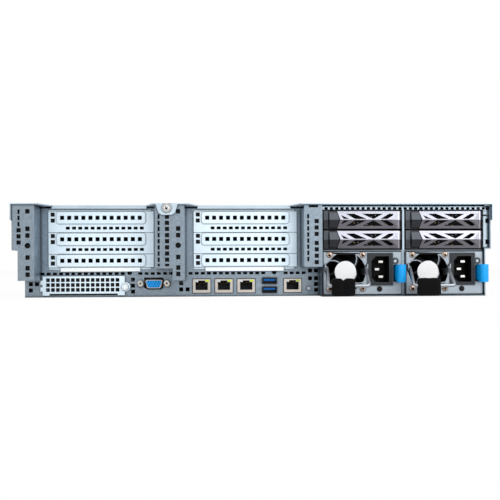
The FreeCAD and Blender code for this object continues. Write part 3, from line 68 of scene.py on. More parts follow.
def node_middle(name):
    """The middle of a node's box, in millimetres."""
    low, high = node_corners(name)
    return (low + high) / 2


def node_half(name):
    """Half the size of a node's box, in millimetres."""
    low, high = node_corners(name)
    return (high - low) / 2


print(len(nodes), "nodes in the frame")

# %% [markdown]
# ## Helpers for colour and shader nodes
#
# Colours are chosen as sRGB hex values, as a painter's chart gives them, and Blender wants linear light.
# One helper turns the first into the second. Another adds a shader node with its settings, its links and the
# stops of a colour ramp in one call, so that a finish reads as a list of what the surface has.

# %% Colour and node helpers
def linear(colour):
    """Each channel c of the hex colour becomes c / 12.92 when dark, else ((c + 0.055) / 1.055) to the 2.4."""
    channels = np.array([int(colour[i:i + 2], 16) for i in (1, 3, 5)]) / 255
    light = np.where(channels <= 0.04045, channels / 12.92, ((channels + 0.055) / 1.055) ** 2.4)
    return (*light.tolist(), 1.0)


def add(tree, kind, inputs=None, stops=(), **settings):
    """Adds one shader node. A socket given as an input is linked, and any other value is set.

    Stops belong to a colour ramp: each is a position from 0 to 1 and a hex colour, in rising order.
    """
    node = tree.nodes.new("ShaderNode" + kind)
    for name, value in settings.items():
        setattr(node, name, value)
    for key, value in (inputs or {}).items():
        if isinstance(value, bpy.types.NodeSocket):
            tree.links.new(value, node.inputs[key])
        else:
            node.inputs[key].default_value = value
    for _ in stops[2:]:
        node.color_ramp.elements.new(0.5)
    for step, (position, colour) in enumerate(stops):
        node.color_ramp.elements[step].position = position
        node.color_ramp.elements[step].color = linear(colour)
    return node


def new_finish(name, **shader):
    """A material with only a Principled shader. Its keywords are socket names, with _ for a space."""
    material = bpy.data.materials.new(name)
    material.use_nodes = True
    tree = material.node_tree
    tree.nodes.clear()
    sockets = {key.replace("_", " "): value for key, value in shader.items()}
    surface = add(tree, "BsdfPrincipled", sockets)
    add(tree, "OutputMaterial", {"Surface": surface.outputs["BSDF"]})
    return material, tree, surface


def object_place(tree, scale=(1, 1, 1)):
    """Object coordinates, which are metres on the piece, times a scale along X, Y and Z."""
    place = add(tree, "TexCoord")
    return add(tree, "Mapping", {"Vector": place.outputs["Object"], "Scale": scale}).outputs["Vector"]


def painted_crevice_shade(tree, colour, reach=2.5, depth=1.6):
    """Painted shade in crevices: the colour times the open share of the sky within reach millimetres, raised
    to the power depth.
    """
    sky = add(tree, "AmbientOcclusion", {"Distance": reach * MM}, samples=6)
    shadow = add(tree, "Math", {0: sky.outputs["AO"], 1: depth}, operation="POWER")
    shaded = add(tree, "VectorMath", {0: colour, 3: shadow.outputs["Value"]}, operation="SCALE")
    return shaded.outputs["Vector"]


def per_metre(millimetres):
    """How many cells of that size fit into a metre, which is the scale of a texture in Object coordinates."""
    return 1 / (millimetres * MM)

# %% [markdown]
# ## Sheet metal
#
# Most of what shows is thin steel sheet. The columns and the port panel are hot-dip galvanised: molten zinc
# freezes on them in crystals, the spangle, a millimetre or two wide, each a slightly different grey. The
# cover, the slot covers and the supplies are zinc plated in a bath, which is brighter and smoother, and
# keeps only the fine lines of the rolling mill.

# %% Hot-dip galvanised sheet
SPANGLE = 1.5        # width of a zinc crystal, in millimetres
GRIT = 0.45          # width of the fine speckle over it, as coarse as it needs to show


def galvanised():
    """Zinc crystals as Voronoi cells of random grey, with a fine speckle, a soft sheen and painted shade in
    crevices.
    """
    material, tree, surface = new_finish("hot_dip_galvanised_steel", Metallic=1.0, Roughness=0.42)
    crystal = add(tree, "TexVoronoi", {"Vector": object_place(tree), "Scale": per_metre(SPANGLE)})
    speckle = add(tree, "TexNoise", {"Vector": object_place(tree), "Scale": per_metre(GRIT), "Detail": 2.0})
    grain = add(tree, "Mix", {"Factor": 0.55, 2: crystal.outputs["Color"], 3: speckle.outputs["Fac"]},
                data_type="FLOAT")
    colour = add(tree, "ValToRGB", {"Fac": grain.outputs[0]},
                 stops=((0.25, "#7C8995"), (0.5, "#87949F"), (0.75, "#929FAA")))
    tree.links.new(painted_crevice_shade(tree, colour.outputs["Color"]), surface.inputs["Base Color"])
    rough = add(tree, "MapRange", {"Value": grain.outputs[0], "To Min": 0.36, "To Max": 0.52})
    tree.links.new(rough.outputs["Result"], surface.inputs["Roughness"])
    relief = add(tree, "Bump", {"Height": grain.outputs[0], "Strength": 0.08, "Distance": 0.05 * MM})
    tree.links.new(relief.outputs["Normal"], surface.inputs["Normal"])
    return material


galvanised_steel = galvanised()

# %% Bright zinc-plated sheet
ROLL_LINE = 0.5      # spacing of the rolling lines, in millimetres
ROLL_LENGTH = 60.0   # how far one line runs before it fades
BATH_CLOUD = 45.0    # width of a patch where the bath was uneven


def zinc_plated(name, dark, bright):
    """Long noise streaks for the rolling lines, over slow clouds where the bath was uneven, and painted shade
    in crevices.
    """
    material, tree, surface = new_finish(name, Metallic=0.7, Roughness=0.45)
    lines = add(tree, "TexNoise", {"Vector": object_place(tree, (ROLL_LINE / ROLL_LENGTH, 1, 1)),
                                   "Scale": per_metre(ROLL_LINE), "Detail": 3.0})
    clouds = add(tree, "TexNoise", {"Vector": object_place(tree), "Scale": per_metre(BATH_CLOUD),
                                    "Detail": 2.0})
    tone = add(tree, "Mix", {"Factor": 0.6, 2: lines.outputs["Fac"], 3: clouds.outputs["Fac"]},
               data_type="FLOAT")
    colour = add(tree, "ValToRGB", {"Fac": tone.outputs[0]}, stops=((0.3, dark), (0.7, bright)))
    tree.links.new(painted_crevice_shade(tree, colour.outputs["Color"], 2.0, 2.2), surface.inputs["Base Color"])
    rough = add(tree, "MapRange", {"Value": lines.outputs["Fac"], "To Min": 0.4, "To Max": 0.56})
    tree.links.new(rough.outputs["Result"], surface.inputs["Roughness"])
    relief = add(tree, "Bump", {"Height": lines.outputs["Fac"], "Strength": 0.05, "Distance": 0.03 * MM})
    tree.links.new(relief.outputs["Normal"], surface.inputs["Normal"])
    return material


cover_zinc = zinc_plated("zinc_plated_cover", "#A9BBC8", "#C6D5E0")
slot_zinc = zinc_plated("zinc_plated_slot_cover", "#D0E2EF", "#E6F3FC")
supply_zinc = zinc_plated("zinc_plated_supply", "#89939C", "#A6B0B9")
# The brightest zinc is the plating of the screws, and also a painted highlight on the formed lips of the
# riser cages.
bright_zinc_and_lip_highlight = zinc_plated("bright_zinc_plate", "#E4EEF4", "#F6FAFC")

# %% [markdown]
# ## Plated and moulded parts
#
# Screws and the blades of the inlets are nickel plated, so they mirror the room in warm and dark bands. Port
# shells are tinned steel, which is yellower and duller. The mouldings are ABS and nylon: a fine spark-eroded
# grain breaks up their gloss, and the latches that a hand looks for are dyed a bright blue.

# %% Nickel plate and tinned shells
PLATING_CLOUD = 3.0  # width of a patch where the plating is a little duller


def plated(name, colour, roughness, wear):
    """A plain metal whose roughness wanders a little, as plating does over drawn wire or stamped steel."""
    material, tree, surface = new_finish(name, Metallic=1.0, Base_Color=linear(colour))
    clouds = add(tree, "TexNoise", {"Vector": object_place(tree), "Scale": per_metre(PLATING_CLOUD),
                                    "Detail": 4.0})
    rough = add(tree, "MapRange", {"Value": clouds.outputs["Fac"], "To Min": roughness,
                                   "To Max": roughness + wear})
    tree.links.new(rough.outputs["Result"], surface.inputs["Roughness"])
    return material


nickel = plated("nickel_plated_steel", "#C8C6C2", 0.16, 0.14)
warm_nickel = plated("warm_nickel_screw", "#B9A393", 0.2, 0.12)
tin = plated("tinned_port_shell", "#C4BDB5", 0.32, 0.18)
gold = plated("gold_flashed_contact", "#E8C070", 0.25, 0.1)

# %% Moulded plastics
SPARK_GRAIN = 0.35   # width of a pit that the spark-eroded mould leaves
FLOW_CLOUD = 12.0    # width of a patch where the dye has flowed thicker
DEEP_SHARE = 0.88    # how bright the deepest patch is beside the palest


def moulded(name, colour, roughness=0.45, depth=0.25, **shader):
    """ABS or nylon from a spark-eroded mould: nearly one colour, and a noise relief of fine pits."""
    material, tree, surface = new_finish(name, Roughness=roughness, IOR=1.53, **shader)
    pits = add(tree, "TexNoise", {"Vector": object_place(tree), "Scale": per_metre(SPARK_GRAIN),
                                  "Detail": 2.0})
    clouds = add(tree, "TexNoise", {"Vector": object_place(tree), "Scale": per_metre(FLOW_CLOUD)})
    base = np.array(linear(colour))
    deep = (*(base[:3] * DEEP_SHARE), 1.0)
    tone = add(tree, "Mix", {"Factor": clouds.outputs["Fac"], 6: deep, 7: tuple(base)}, data_type="RGBA")
    tree.links.new(tone.outputs[2], surface.inputs["Base Color"])
    relief = add(tree, "Bump", {"Height": pits.outputs["Fac"], "Strength": depth, "Distance": 0.05 * MM})
    tree.links.new(relief.outputs["Normal"], surface.inputs["Normal"])
    return material


black_nylon = moulded("black_glass_filled_nylon", "#0C0E12", 0.4)
# Deep black: painted shade in holes, gaps, recesses, wells and behind the lattice, and also used for the ribs
# of the drives and the blind plugs.
deep_black = moulded("deep_black_finish", "#030406", 0.6, Specular_IOR_Level=0.2)
socket_lining = moulded("dark_socket_lining", "#141C22", 0.5, Specular_IOR_Level=0.3)
fan_nylon = moulded("black_fan_nylon", "#07090D", 0.35)
charcoal_abs = moulded("charcoal_abs", "#2C3036", 0.42)
inlet_nylon = moulded("dark_grey_inlet_nylon", "#161C23", 0.55, Specular_IOR_Level=0.4)
blue_abs = moulded("blue_latch_abs", "#00A4F4", 0.45, depth=0.1, Specular_IOR_Level=0.3)
pale_button_abs = moulded("pale_button_abs", "#D8DEE6", 0.3, depth=0.1)
white_label_and_highlight = moulded("white_hub_label_and_speck_highlight", "#F2F3F4", 0.5, depth=0.1)
port_blue = moulded("video_port_blue_nylon", "#009CF2", 0.5, depth=0.1, Specular_IOR_Level=0.3)
tongue_blue = moulded("data_port_blue_nylon", "#0062B4", 0.5, depth=0.1, Specular_IOR_Level=0.2)
lime_lens = moulded("lime_light_pipe", "#C8E010", 0.15, depth=0.0)
clear_lens = moulded("clear_light_pipe", "#C9D6DC", 0.12, depth=0.0)

# %% [markdown]
# ## Lacquered levers
#
# The drive levers are die cast and then sprayed with aluminium lacquer. The upper half of the face is painted
# light and the lower half is painted shade in a darker colour, so the lattice reads as two facets, and the
# carriers take the same two colours. The border between the colours is a height, which Object coordinates
# give in metres.

# %% Lacquer with painted light above and painted shade below
FLAKE = 0.3          # width of a glint of aluminium flake, as coarse as it needs to show


def lacquer(name, border, upper, lower, roughness=0.3):
    """Aluminium flake in clear coat, in the upper colour above the border height and the lower below it:
    painted light above and painted shade below.
    """
    material, tree, surface = new_finish(name, Metallic=0.55, Roughness=roughness, Coat_Weight=0.3,
                                         Coat_Roughness=0.15)
    place = add(tree, "TexCoord")
    axes = add(tree, "SeparateXYZ", {"Vector": place.outputs["Object"]})
    above = add(tree, "Math", {0: axes.outputs["Z"], 1: border * MM}, operation="GREATER_THAN")
    tone = add(tree, "Mix", {"Factor": above.outputs["Value"], 6: linear(lower), 7: linear(upper)},
               data_type="RGBA")
    flake = add(tree, "TexNoise", {"Vector": object_place(tree), "Scale": per_metre(FLAKE)})
    glint = add(tree, "MapRange", {"Value": flake.outputs["Fac"], "To Min": 0.92, "To Max": 1.06})
    mixed = add(tree, "VectorMath", {0: tone.outputs[2], 3: glint.outputs["Result"]}, operation="SCALE")
    tree.links.new(mixed.outputs["Vector"], surface.inputs["Base Color"])
    return material


def drive_middle(number):
    """Height of the middle of a drive's face, in millimetres."""
    return node_middle(f"drive_{number}_carrier")[2]


DRIVES = (1, 2, 3, 4)
# Painted light on the upper half of each lever and carrier, and painted shade on the lower half.
lever_lacquer_shaded_below = {n: lacquer(f"lever_lacquer_shaded_below_{n}", drive_middle(n), "#CDCEDB", "#6B6870") for n in DRIVES}
carrier_coat_shaded_below = {n: lacquer(f"carrier_coat_shaded_below_{n}", drive_middle(n), "#454B54", "#17191F", 0.55) for n in DRIVES}

# %% [markdown]
# ## Felt, boards and heat sinks
#
# The cable straps are hook-and-loop felt: black fibres that scatter light back, which a sheen over a very
# rough surface gives. Boards are woven glass under green solder mask. Heat sinks are bare aluminium.

# %% Felt
FIBRE = 0.6          # width of a tuft of fibres, in millimetres


def felt():
    """Black tufts: a noise relief in two sizes, a grey bloom on the tips, and a sheen at the edges."""
    material, tree, surface = new_finish("black_loop_felt", Roughness=0.95, Sheen_Weight=0.12,
                                         Sheen_Roughness=0.5, Specular_IOR_Level=0.1)
    tuft = add(tree, "TexNoise", {"Vector": object_place(tree), "Scale": per_metre(FIBRE),
                                  "Detail": 6.0, "Roughness": 0.7})
    colour = add(tree, "ValToRGB", {"Fac": tuft.outputs["Fac"]},
                 stops=((0.35, "#020203"), (0.6, "#08090B"), (0.8, "#15171A")))
    tree.links.new(colour.outputs["Color"], surface.inputs["Base Color"])
    relief = add(tree, "Bump", {"Height": tuft.outputs["Fac"], "Strength": 0.9, "Distance": 0.3 * MM})
    tree.links.new(relief.outputs["Normal"], surface.inputs["Normal"])
    return material


black_felt = felt()

# %% Circuit board and extruded aluminium
WEAVE = 0.5          # a wave repeats every 2 pi of these, about 3 mm, which is coarser than real glass cloth


def circuit_board():
    """Green solder mask whose tone follows the weave under it, worked out as two crossed waves."""
    material, tree, surface = new_finish("green_solder_mask", Roughness=0.35, IOR=1.55)
    warp = add(tree, "TexWave", {"Vector": object_place(tree), "Scale": per_metre(WEAVE) / 20})
    weft = add(tree, "TexWave", {"Vector": object_place(tree), "Scale": per_metre(WEAVE) / 20},
               bands_direction="Y")
    cloth = add(tree, "Math", {0: warp.outputs["Fac"], 1: weft.outputs["Fac"]}, operation="MULTIPLY")
    colour = add(tree, "ValToRGB", {"Fac": cloth.outputs["Value"]},
                 stops=((0.0, "#0B3A26"), (1.0, "#14583A")))
    tree.links.new(colour.outputs["Color"], surface.inputs["Base Color"])
    return material


green_mask = circuit_board()
bare_aluminium = plated("extruded_aluminium", "#D5D7DA", 0.3, 0.15)

# %% [markdown]
# ## Dressing the nodes
#
# Every node keeps its own solid. A table pairs each finish with the nodes that wear it, and one pass puts
# the finish in the node's material slots.

# %% Put each finish on its nodes
FINISHES = [
    (galvanised_steel, ["chassis_tray", "rear_io_panel", "left_column", "middle_column", "right_column",
                        "rack_ears", "front_drive_cage", "psu_cage"]),
    (cover_zinc, ["top_cover", "front_top_cover", "rear_drive_cage"]),
    (slot_zinc, ["riser_cages", "slot_covers", "network_card_cover"]),
    (supply_zinc, ["psu_left_case", "psu_right_case"]),
    (nickel, ["cover_screw", "panel_screws", "psu_left_handle", "psu_right_handle"]),
    (tin, ["lan_jacks", "vga_connector"]),
    (fan_nylon, ["psu_left_fan", "psu_right_fan", "fan_rotor_1", "fan_rotor_2", "fan_rotor_3",
                 "fan_rotor_4"]),
    (black_nylon, ["usb_ports", "fan_frames", "air_duct", "memory_modules", "front_bezel", "front_drives"]),
    (green_mask, ["motherboard", "riser_cards", "drive_backplane"]),
    (bare_aluminium, ["heatsinks"]),
    (pale_button_abs, ["uid_button", "power_button"]),
    (blue_abs, ["cover_latch", "psu_left_latch", "psu_right_latch"]),
    (inlet_nylon, ["psu_left_inlet", "psu_right_inlet"]),
    (black_felt, ["psu_left_strap", "psu_right_strap"]),
]
FINISHES += [(lever_lacquer_shaded_below[n], [f"drive_{n}_lever"]) for n in DRIVES]
FINISHES += [(carrier_coat_shaded_below[n], [f"drive_{n}_carrier", f"drive_{n}_button"]) for n in DRIVES]

for finish, names in FINISHES:
    for name in names:
        nodes[name].data.materials.clear()
        nodes[name].data.materials.append(finish)
undressed = sorted(set(nodes) - {name for _, names in FINISHES for name in names})
print("nodes without a finish:", undressed)

# %% [markdown]
# ## Where things are
#
# The rear edge of the cover, the fans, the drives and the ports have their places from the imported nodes.
# Places inside a node, such as one slot among six, can't be read from its box, so they are given here as the
# solids have them, in millimetres. Depth grows into the machine, and the rear is its least value.

# %% Places taken from the nodes
REAR = node_corners("top_cover")[0][1]   # rear edge of the cover
COLUMN = REAR + 1.4                      # face of the columns
MODULE = REAR + 5.0                      # face of the supplies and drives
PANEL = REAR + 26.0                      # rear side of the port panel
SUPPLIES = {name: node_middle(f"{name}_fan")[[0, 2]] for name in ("psu_left", "psu_right")}
BAYS = (-146.5, -9.6)                    # middles of the two slot bays, across
SLOT_ROWS = (71.45, 51.13, 30.81)        # middles of the three slots
END_HOLE_ASIDE = -44.1                   # two holes at the left end of a slot cover, from its middle
END_HOLES = (7.0, 1.3)                   # and their heights above it
NET_EAR = (-122.8, 9.7)                  # thumbscrew of the network card cover
INLET_AWAY = np.array((32.3, 2.4))       # from a fan's axis to the middle of the inlet beside it
print("rear", round(REAR, 2), "panel", round(PANEL, 2))
print("fan axes", {name: fan.round(1).tolist() for name, fan in SUPPLIES.items()})

# %% [markdown]
# ## Two finishes on one solid
#
# Some solids hold two things at once: the socket of a jack and its shell, or the tongue of a port and its
# housing. Their mesh stays as it is, and only the faces that belong to the second thing take another of the
# node's materials. Which faces those are is a question about the middle and the direction of each face.

# %% Give chosen faces another finish
def repaint(name, finish, choose):
    """Gives a finish to the faces that choose picks. It gets all middles (in millimetres) and all normals."""
    mesh = nodes[name].data
    count = len(mesh.polygons)
    middles, normals = np.empty(count * 3), np.empty(count * 3)
    mesh.polygons.foreach_get("center", middles)
    mesh.polygons.foreach_get("normal", normals)
    chosen = choose(middles.reshape(-1, 3) / MM, normals.reshape(-1, 3))
    slots = np.empty(count, dtype=np.int32)
    mesh.polygons.foreach_get("material_index", slots)
    mesh.materials.append(finish)
    slots[chosen] = len(mesh.materials) - 1
    mesh.polygons.foreach_set("material_index", slots)
    return int(chosen.sum())


def near(places, x, z, half, depths=(-np.inf, np.inf)):
    """True within a box: half its width and half its height round (x, z), and between two depths."""
    across, depth, up = np.abs(places[:, 0] - x), places[:, 1], np.abs(places[:, 2] - z)
    return (across < half[0]) & (up < half[1]) & (depth > depths[0]) & (depth < depths[1])


# %% Power inlets: painted shade in the cavity, bright blades
BLADES = ((1.0, 7.0), (-2.6, 0.0), (1.0, -7.0))    # across and up from the middle of an inlet
BLADE_HALF = (2.3, 1.3)
BLADE_DEPTHS = (MODULE + 1.0, MODULE + 15.0)
CAVITY = MODULE + 0.3                              # everything deeper than this is in shade
for name, fan in SUPPLIES.items():
    x, z = fan + INLET_AWAY
    # Painted shade: the faces inside the cavity are made jet black.
    dark = repaint(f"{name}_inlet", deep_black, lambda p, n: p[:, 1] > CAVITY)
    for across, up in BLADES:
        repaint(f"{name}_inlet", nickel, lambda p, n: near(p, x + across, z + up, BLADE_HALF, BLADE_DEPTHS))
    print(name, "inlet faces inside:", dark)

# %% Fan wells of the supplies, in painted shade
HUB_REACH, GUARD_REACH = 10.2, 18.9      # radii between which a fan guard is pierced
WELL_HALF = (19.0, 18.2)                 # the well behind the guard
WELL_DEPTHS = (MODULE + 1.6, MODULE + 26.0)


def in_guard(places, x, z):
    """True for the faces of the guard whose distance from (x, z) lies between the two radii."""
    away = np.hypot(places[:, 0] - x, places[:, 2] - z)
    return (away > HUB_REACH) & (away < GUARD_REACH) & (places[:, 1] > MODULE - 0.1)


# Painted shade: the faces of the pierced guard and of the well behind it are made jet black, so the straight
# arms of the guard vanish into the shade.
for name, (x, z) in SUPPLIES.items():
    repaint(f"{name}_case", deep_black, lambda p, n: in_guard(p, x, z))
    repaint(f"{name}_case", deep_black, lambda p, n: near(p, x, z, WELL_HALF, WELL_DEPTHS))

# %% Ports
LAN_X = (-50.3, -29.0, -7.7, 37.0)
LAN_Z = node_middle("lan_jacks")[2]
JACK_HALF, JACK_UP = (6.1, 4.7), 0.6     # mouth of a jack, above the middle of its shell
USB_X, _, USB_Z = node_middle("usb_ports")
USB_RISE = 4.325                         # half the distance between the two ports
TONGUE_HALF, TONGUE_UP = (5.7, 1.1), 0.8  # tongue of a port, above the middle of its shell
for x in LAN_X:
    repaint("lan_jacks", socket_lining,
            lambda p, n: near(p, x, LAN_Z + JACK_UP, JACK_HALF, (PANEL - 0.3, np.inf)))
for side in (-1, 1):
    z = USB_Z + side * USB_RISE + TONGUE_UP
    repaint("usb_ports", tongue_blue,
            lambda p, n: near(p, USB_X, z, TONGUE_HALF, (PANEL - 0.2, np.inf)) & (n[:, 1] < 0.5))
# Painted highlight: the formed lips of the riser cages take the brightest zinc, where they catch the light.
lips = repaint("riser_cages", bright_zinc_and_lip_highlight, lambda p, n: p[:, 1] < PANEL - 0.2)
print("faces of the formed lips:", lips)

# %% Drives: painted shade behind the lattice
LATTICE = MODULE + 3.0                   # everything deeper than this lies behind a lever
for number in DRIVES:
    # Painted shade: the carrier's faces behind the lever are made jet black.
    dark = repaint(f"drive_{number}_carrier", deep_black, lambda p, n: p[:, 1] > LATTICE)
    print("drive", number, "faces behind the lever:", dark)

# %% [markdown]
# ## Surfaces from formulas
#
# Most of the pieces that follow have one of three forms. A turned piece is a profile swept round an axis. A
# wire is a circle carried along a path. A pressed or moulded pad is an outline carried along the viewing
# axis, shrinking on the way, which rounds its edges. Each is worked out as one array of points on a grid,
# and the grid becomes the mesh. A sheet with windows needs another way, which comes further down.

# %% Grid to mesh
def skin(points, wrap_rows=False, wrap_columns=True, ends=True):
    """Quads between neighbours on a grid of points, and a flat face over the first and the last row."""
    rows, columns = points.shape[:2]
    index = np.arange(rows * columns).reshape(rows, columns)
    if wrap_rows:
        index = np.vstack([index, index[:1]])
    if wrap_columns:
        index = np.hstack([index, index[:, :1]])
    quads = np.stack([index[:-1, :-1], index[:-1, 1:], index[1:, 1:], index[1:, :-1]], axis=-1)
    faces = quads.reshape(-1, 4).tolist()
    if ends and not wrap_rows:
        faces += [index[0, :columns].tolist(), index[-1, :columns].tolist()]
    return points.reshape(-1, 3), faces


def turned(profile, place, count=20):
    """Each (radius r, height h) of the profile becomes a ring (x + r cos a, y - h, z + r sin a)."""
    radius, height = np.array(profile, dtype=float).T[:, :, None]
    angle = np.arange(count) * 2 * np.pi / count
    x, y, z = place
    rings = np.broadcast_arrays(x + radius * np.cos(angle), y - height, z + radius * np.sin(angle))
    return skin(np.stack(rings, -1))


def pad(outline, place, steps):
    """The outline (x, z) at each step (forward, inset): moved forward, each side drawn in by the inset."""
    outline = np.array(outline, dtype=float)
    half = np.abs(outline).max(axis=0)
    forward, inset = np.array(steps, dtype=float).T
    shrunk = outline[None] * (1 - inset[:, None] / half)[:, None, :]
    x, y, z = place
    depth = np.broadcast_to((y - forward)[:, None], shrunk.shape[:2])
    return skin(np.stack([x + shrunk[..., 0], depth, z + shrunk[..., 1]], axis=-1))


def rounded(half_width, half_height, corner, steps=4):
    """A rectangle with quarter-circle corners: the corner's middle plus corner times (cos a, sin a)."""
    angle = np.linspace(0, np.pi / 2, steps)[None] + np.arange(4)[:, None] * np.pi / 2
    side = np.array([(1, 1), (-1, 1), (-1, -1), (1, -1)])[:, None]
    middle = side * (half_width - corner, half_height - corner)
    return (middle + corner * np.stack([np.cos(angle), np.sin(angle)], -1)).reshape(-1, 2)


def rounded_route(corners, radius, steps=7):
    """At each inner corner P the route follows (1-t)^2 A + 2t(1-t) P + t^2 B between points radius away."""
    corners = np.array(corners, dtype=float)
    run = np.diff(corners, axis=0)
    run /= np.linalg.norm(run, axis=1, keepdims=True)
    middle = corners[1:-1, None]
    before, after = middle - radius * run[:-1, None], middle + radius * run[1:, None]
    t = np.linspace(0, 1, steps)[None, :, None]
    bend = (1 - t) ** 2 * before + 2 * t * (1 - t) * middle + t ** 2 * after
    return np.vstack([corners[:1], bend.reshape(-1, 3), corners[-1:]])


def wire(route, radius, flat, sides=10):
    """A ring of radius r round each point of a plane route: r cos a across it and r sin a along flat."""
    route = np.array(route, dtype=float)
    along = np.gradient(route, axis=0)
    along /= np.linalg.norm(along, axis=1, keepdims=True)
    flat = np.array(flat, dtype=float) / np.linalg.norm(flat)
    across = np.cross(along, flat)
    radius = np.broadcast_to(radius, len(route))[:, None, None]
    angle = (np.arange(sides) * 2 * np.pi / sides)[None, :, None]
    return skin(route[:, None] + radius * (np.cos(angle) * across[:, None] + np.sin(angle) * flat))


# %% Mesh to piece
made = []


def new_piece(name, parts, body, replaces=(), smooth=40):
    """Joins (points, faces, finish) parts into one object on a body. Seams close, and faces turn outwards."""
    points, faces, marks, finishes = [], [], [], []
    for part_points, part_faces, finish in parts:
        if finish not in finishes:
            finishes.append(finish)
        faces += [[corner + len(points) for corner in face] for face in part_faces]
        marks += [finishes.index(finish)] * len(part_faces)
        points += (part_points * MM).tolist()
    mesh = bpy.data.meshes.new(name)
    mesh.from_pydata(points, [], faces)
    for finish in finishes:
        mesh.materials.append(finish)
    mesh.polygons.foreach_set("material_index", marks)
    solid = bmesh.new()
    solid.from_mesh(mesh)
    bmesh.ops.remove_doubles(solid, verts=solid.verts, dist=1e-6)
    bmesh.ops.recalc_face_normals(solid, faces=solid.faces)
    solid.to_mesh(mesh)
    solid.free()
    mesh.shade_smooth()
    mesh.set_sharp_from_angle(angle=math.radians(smooth))
    piece = bpy.data.objects.new(name, mesh)
    scene.collection.objects.link(piece)
    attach(piece, body)
    if replaces:
        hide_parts(*replaces)
    made.append(piece)


# %% [markdown]
# ## Wire bails
#
# A supply is pulled out by a bail: one length of drawn steel wire, bent into a U, whose ends turn outwards
# into two ears. The solids have mitred corners, because they are easy to test for contact. Here the wire
# is carried along a route with real bends, and its legs are slightly thinner than its bar.

# %% Bails
drawn_wire = plated("drawn_steel_wire", "#9BA0A6", 0.3, 0.12)
BAIL_DEEP = 1.75      # radius of the wire at the bar
BAIL_LEG = 1.4        # and along the legs, where it is rolled flat
BAIL_EAR = 2.3        # how far the ends turn outwards into the ears
BAIL_RISE = 2.2       # height of the bar above the foot of its box
EAR_BEND = 1.2        # how far from a corner the bend at an ear starts
BAR_BEND = 3.6        # and the bend at the bar
SPLAY = (-2.6, -0.6)  # how far each leg leans on its way down, where less than 0 is to the left
pivots = {joint["name"]: np.array(joint["pos_m"]) / MM for joint in frame["record"]["behaviour"]["joints"]
          if joint["name"].endswith("handle_swing")}
for name in SUPPLIES:
    low, high = node_corners(f"{name}_handle")
    ends, (left, right) = (low[0] + 0.1, high[0] - 0.1), (low[0] + BAIL_EAR, high[0] - BAIL_EAR)
    top = pivots[f"{name}_handle_swing"][1:]
    bar = low[1:] + BAIL_DEEP + (0, BAIL_RISE)
    feet = (left + SPLAY[0], *bar), (right + SPLAY[1], *bar)
    knees = [(np.array(corner) + foot) / 2 for corner, foot in zip(((left, *top), (right, *top)), feet)]
    route = np.vstack([rounded_route([(ends[0], *top), (left, *top), knees[0]], EAR_BEND)[:-1],
                       rounded_route([knees[0], *feet, knees[1]], BAR_BEND),
                       rounded_route([knees[1], (right, *top), (ends[1], *top)], EAR_BEND)[1:]])
    drop = (top[1] - route[:, 2]) / (top[1] - bar[1])
    radius = BAIL_LEG + (BAIL_DEEP - BAIL_LEG) * np.clip(drop * 1.6 - 0.6, 0, 1)
    across_bail = (0, top[1] - bar[1], bar[0] - top[0])
    new_piece(f"{name}_wire_bail", [(*wire(route, radius, across_bail), drawn_wire)], f"{name}_handle",
              replaces=[f"{name}_handle"])
print("bails made")

# %% [markdown]
# ## Felt straps
#
# Each bail carries a strap of hook-and-loop felt that ties the power cord. It is wrapped round the bar, so
# it stands out as two soft lobes with a dip between them where it is sewn. The dip is deep on the left strap
# and faint on the right. The section is a rounded rectangle, and its half height and half depth change along
# the strap.

# %% Straps
STRAP_PLACE = (-1.4, 0.0, 1.3)    # from the middle of the solid loop to the middle of the felt
STRAP_PUFF = (0.6, -0.35, 1.0)    # how much further than the solid loop the felt reaches each way
ROUNDNESS = 0.45                  # 1 makes the section an ellipse, and 0 would make it a rectangle


def strap(name, dip):
    """Section (b cos u, a sin u), each term to the power ROUNDNESS, with a little fuzz along the normal.

    Along the strap a and b fall towards both ends, and by the share dip at the seam in the middle.
    """
    middle, half = node_middle(f"{name}_strap") + STRAP_PLACE, node_half(f"{name}_strap") + STRAP_PUFF
    v = np.linspace(-1, 1, 49)[:, None]
    u = (np.arange(36) * 2 * np.pi / 36)[None]
    end = (1 - np.abs(v) ** 5) ** ROUNDNESS
    seam = dip * np.exp(-(v / 0.16) ** 2)
    fuzz = 0.16 * np.sin(41 * v + 5 * u) * np.sin(23 * v - 3 * u)
    a = half[2] * (0.72 + 0.28 * end) * (1 - 0.22 * seam * (np.sin(u) > 0))
    b = half[1] * (0.35 + 0.65 * end) * (1 - 0.25 * seam)
    out = np.sign(np.cos(u)) * np.abs(np.cos(u)) ** ROUNDNESS * b
    up = np.sign(np.sin(u)) * np.abs(np.sin(u)) ** ROUNDNESS * a
    x = np.broadcast_to(middle[0] + v * half[0], out.shape)
    return skin(np.stack([x, middle[1] + out + fuzz * np.cos(u), middle[2] + up + fuzz * np.sin(u)], -1))


for name, dip in (("psu_left", 1.0), ("psu_right", 0.15)):
    new_piece(f"{name}_felt_strap", [(*strap(name, dip), black_felt)], f"{name}_handle",
              replaces=[f"{name}_strap"])
print("straps made")

# %% [markdown]
# ## Round things on the supplies
#
# Four pan-head screws hold each fan, and the cross recess of each is painted shade. The hub of the guard
# carries a bare white disc. A status light sits in a dark ring above the latch, and a blind black plug fills
# a hole.

# %% Screw head
def cross(size, bar):
    """A plus of arms size long and bar wide."""
    ends = np.array([(bar, bar), (bar, size), (-bar, size)])
    quarter = np.array([(0, -1), (1, 0)])
    return np.vstack([ends @ np.linalg.matrix_power(quarter, turn) for turn in range(4)])


def dome(radius, height, steps=6):
    """Radius R cos a and height H sin a, from the rim to the pole, on a short skirt below the rim."""
    a = np.linspace(0, np.pi / 2, steps)
    return [(radius, -0.1)] + np.stack([radius * np.cos(a), height * np.sin(a)], -1).tolist()


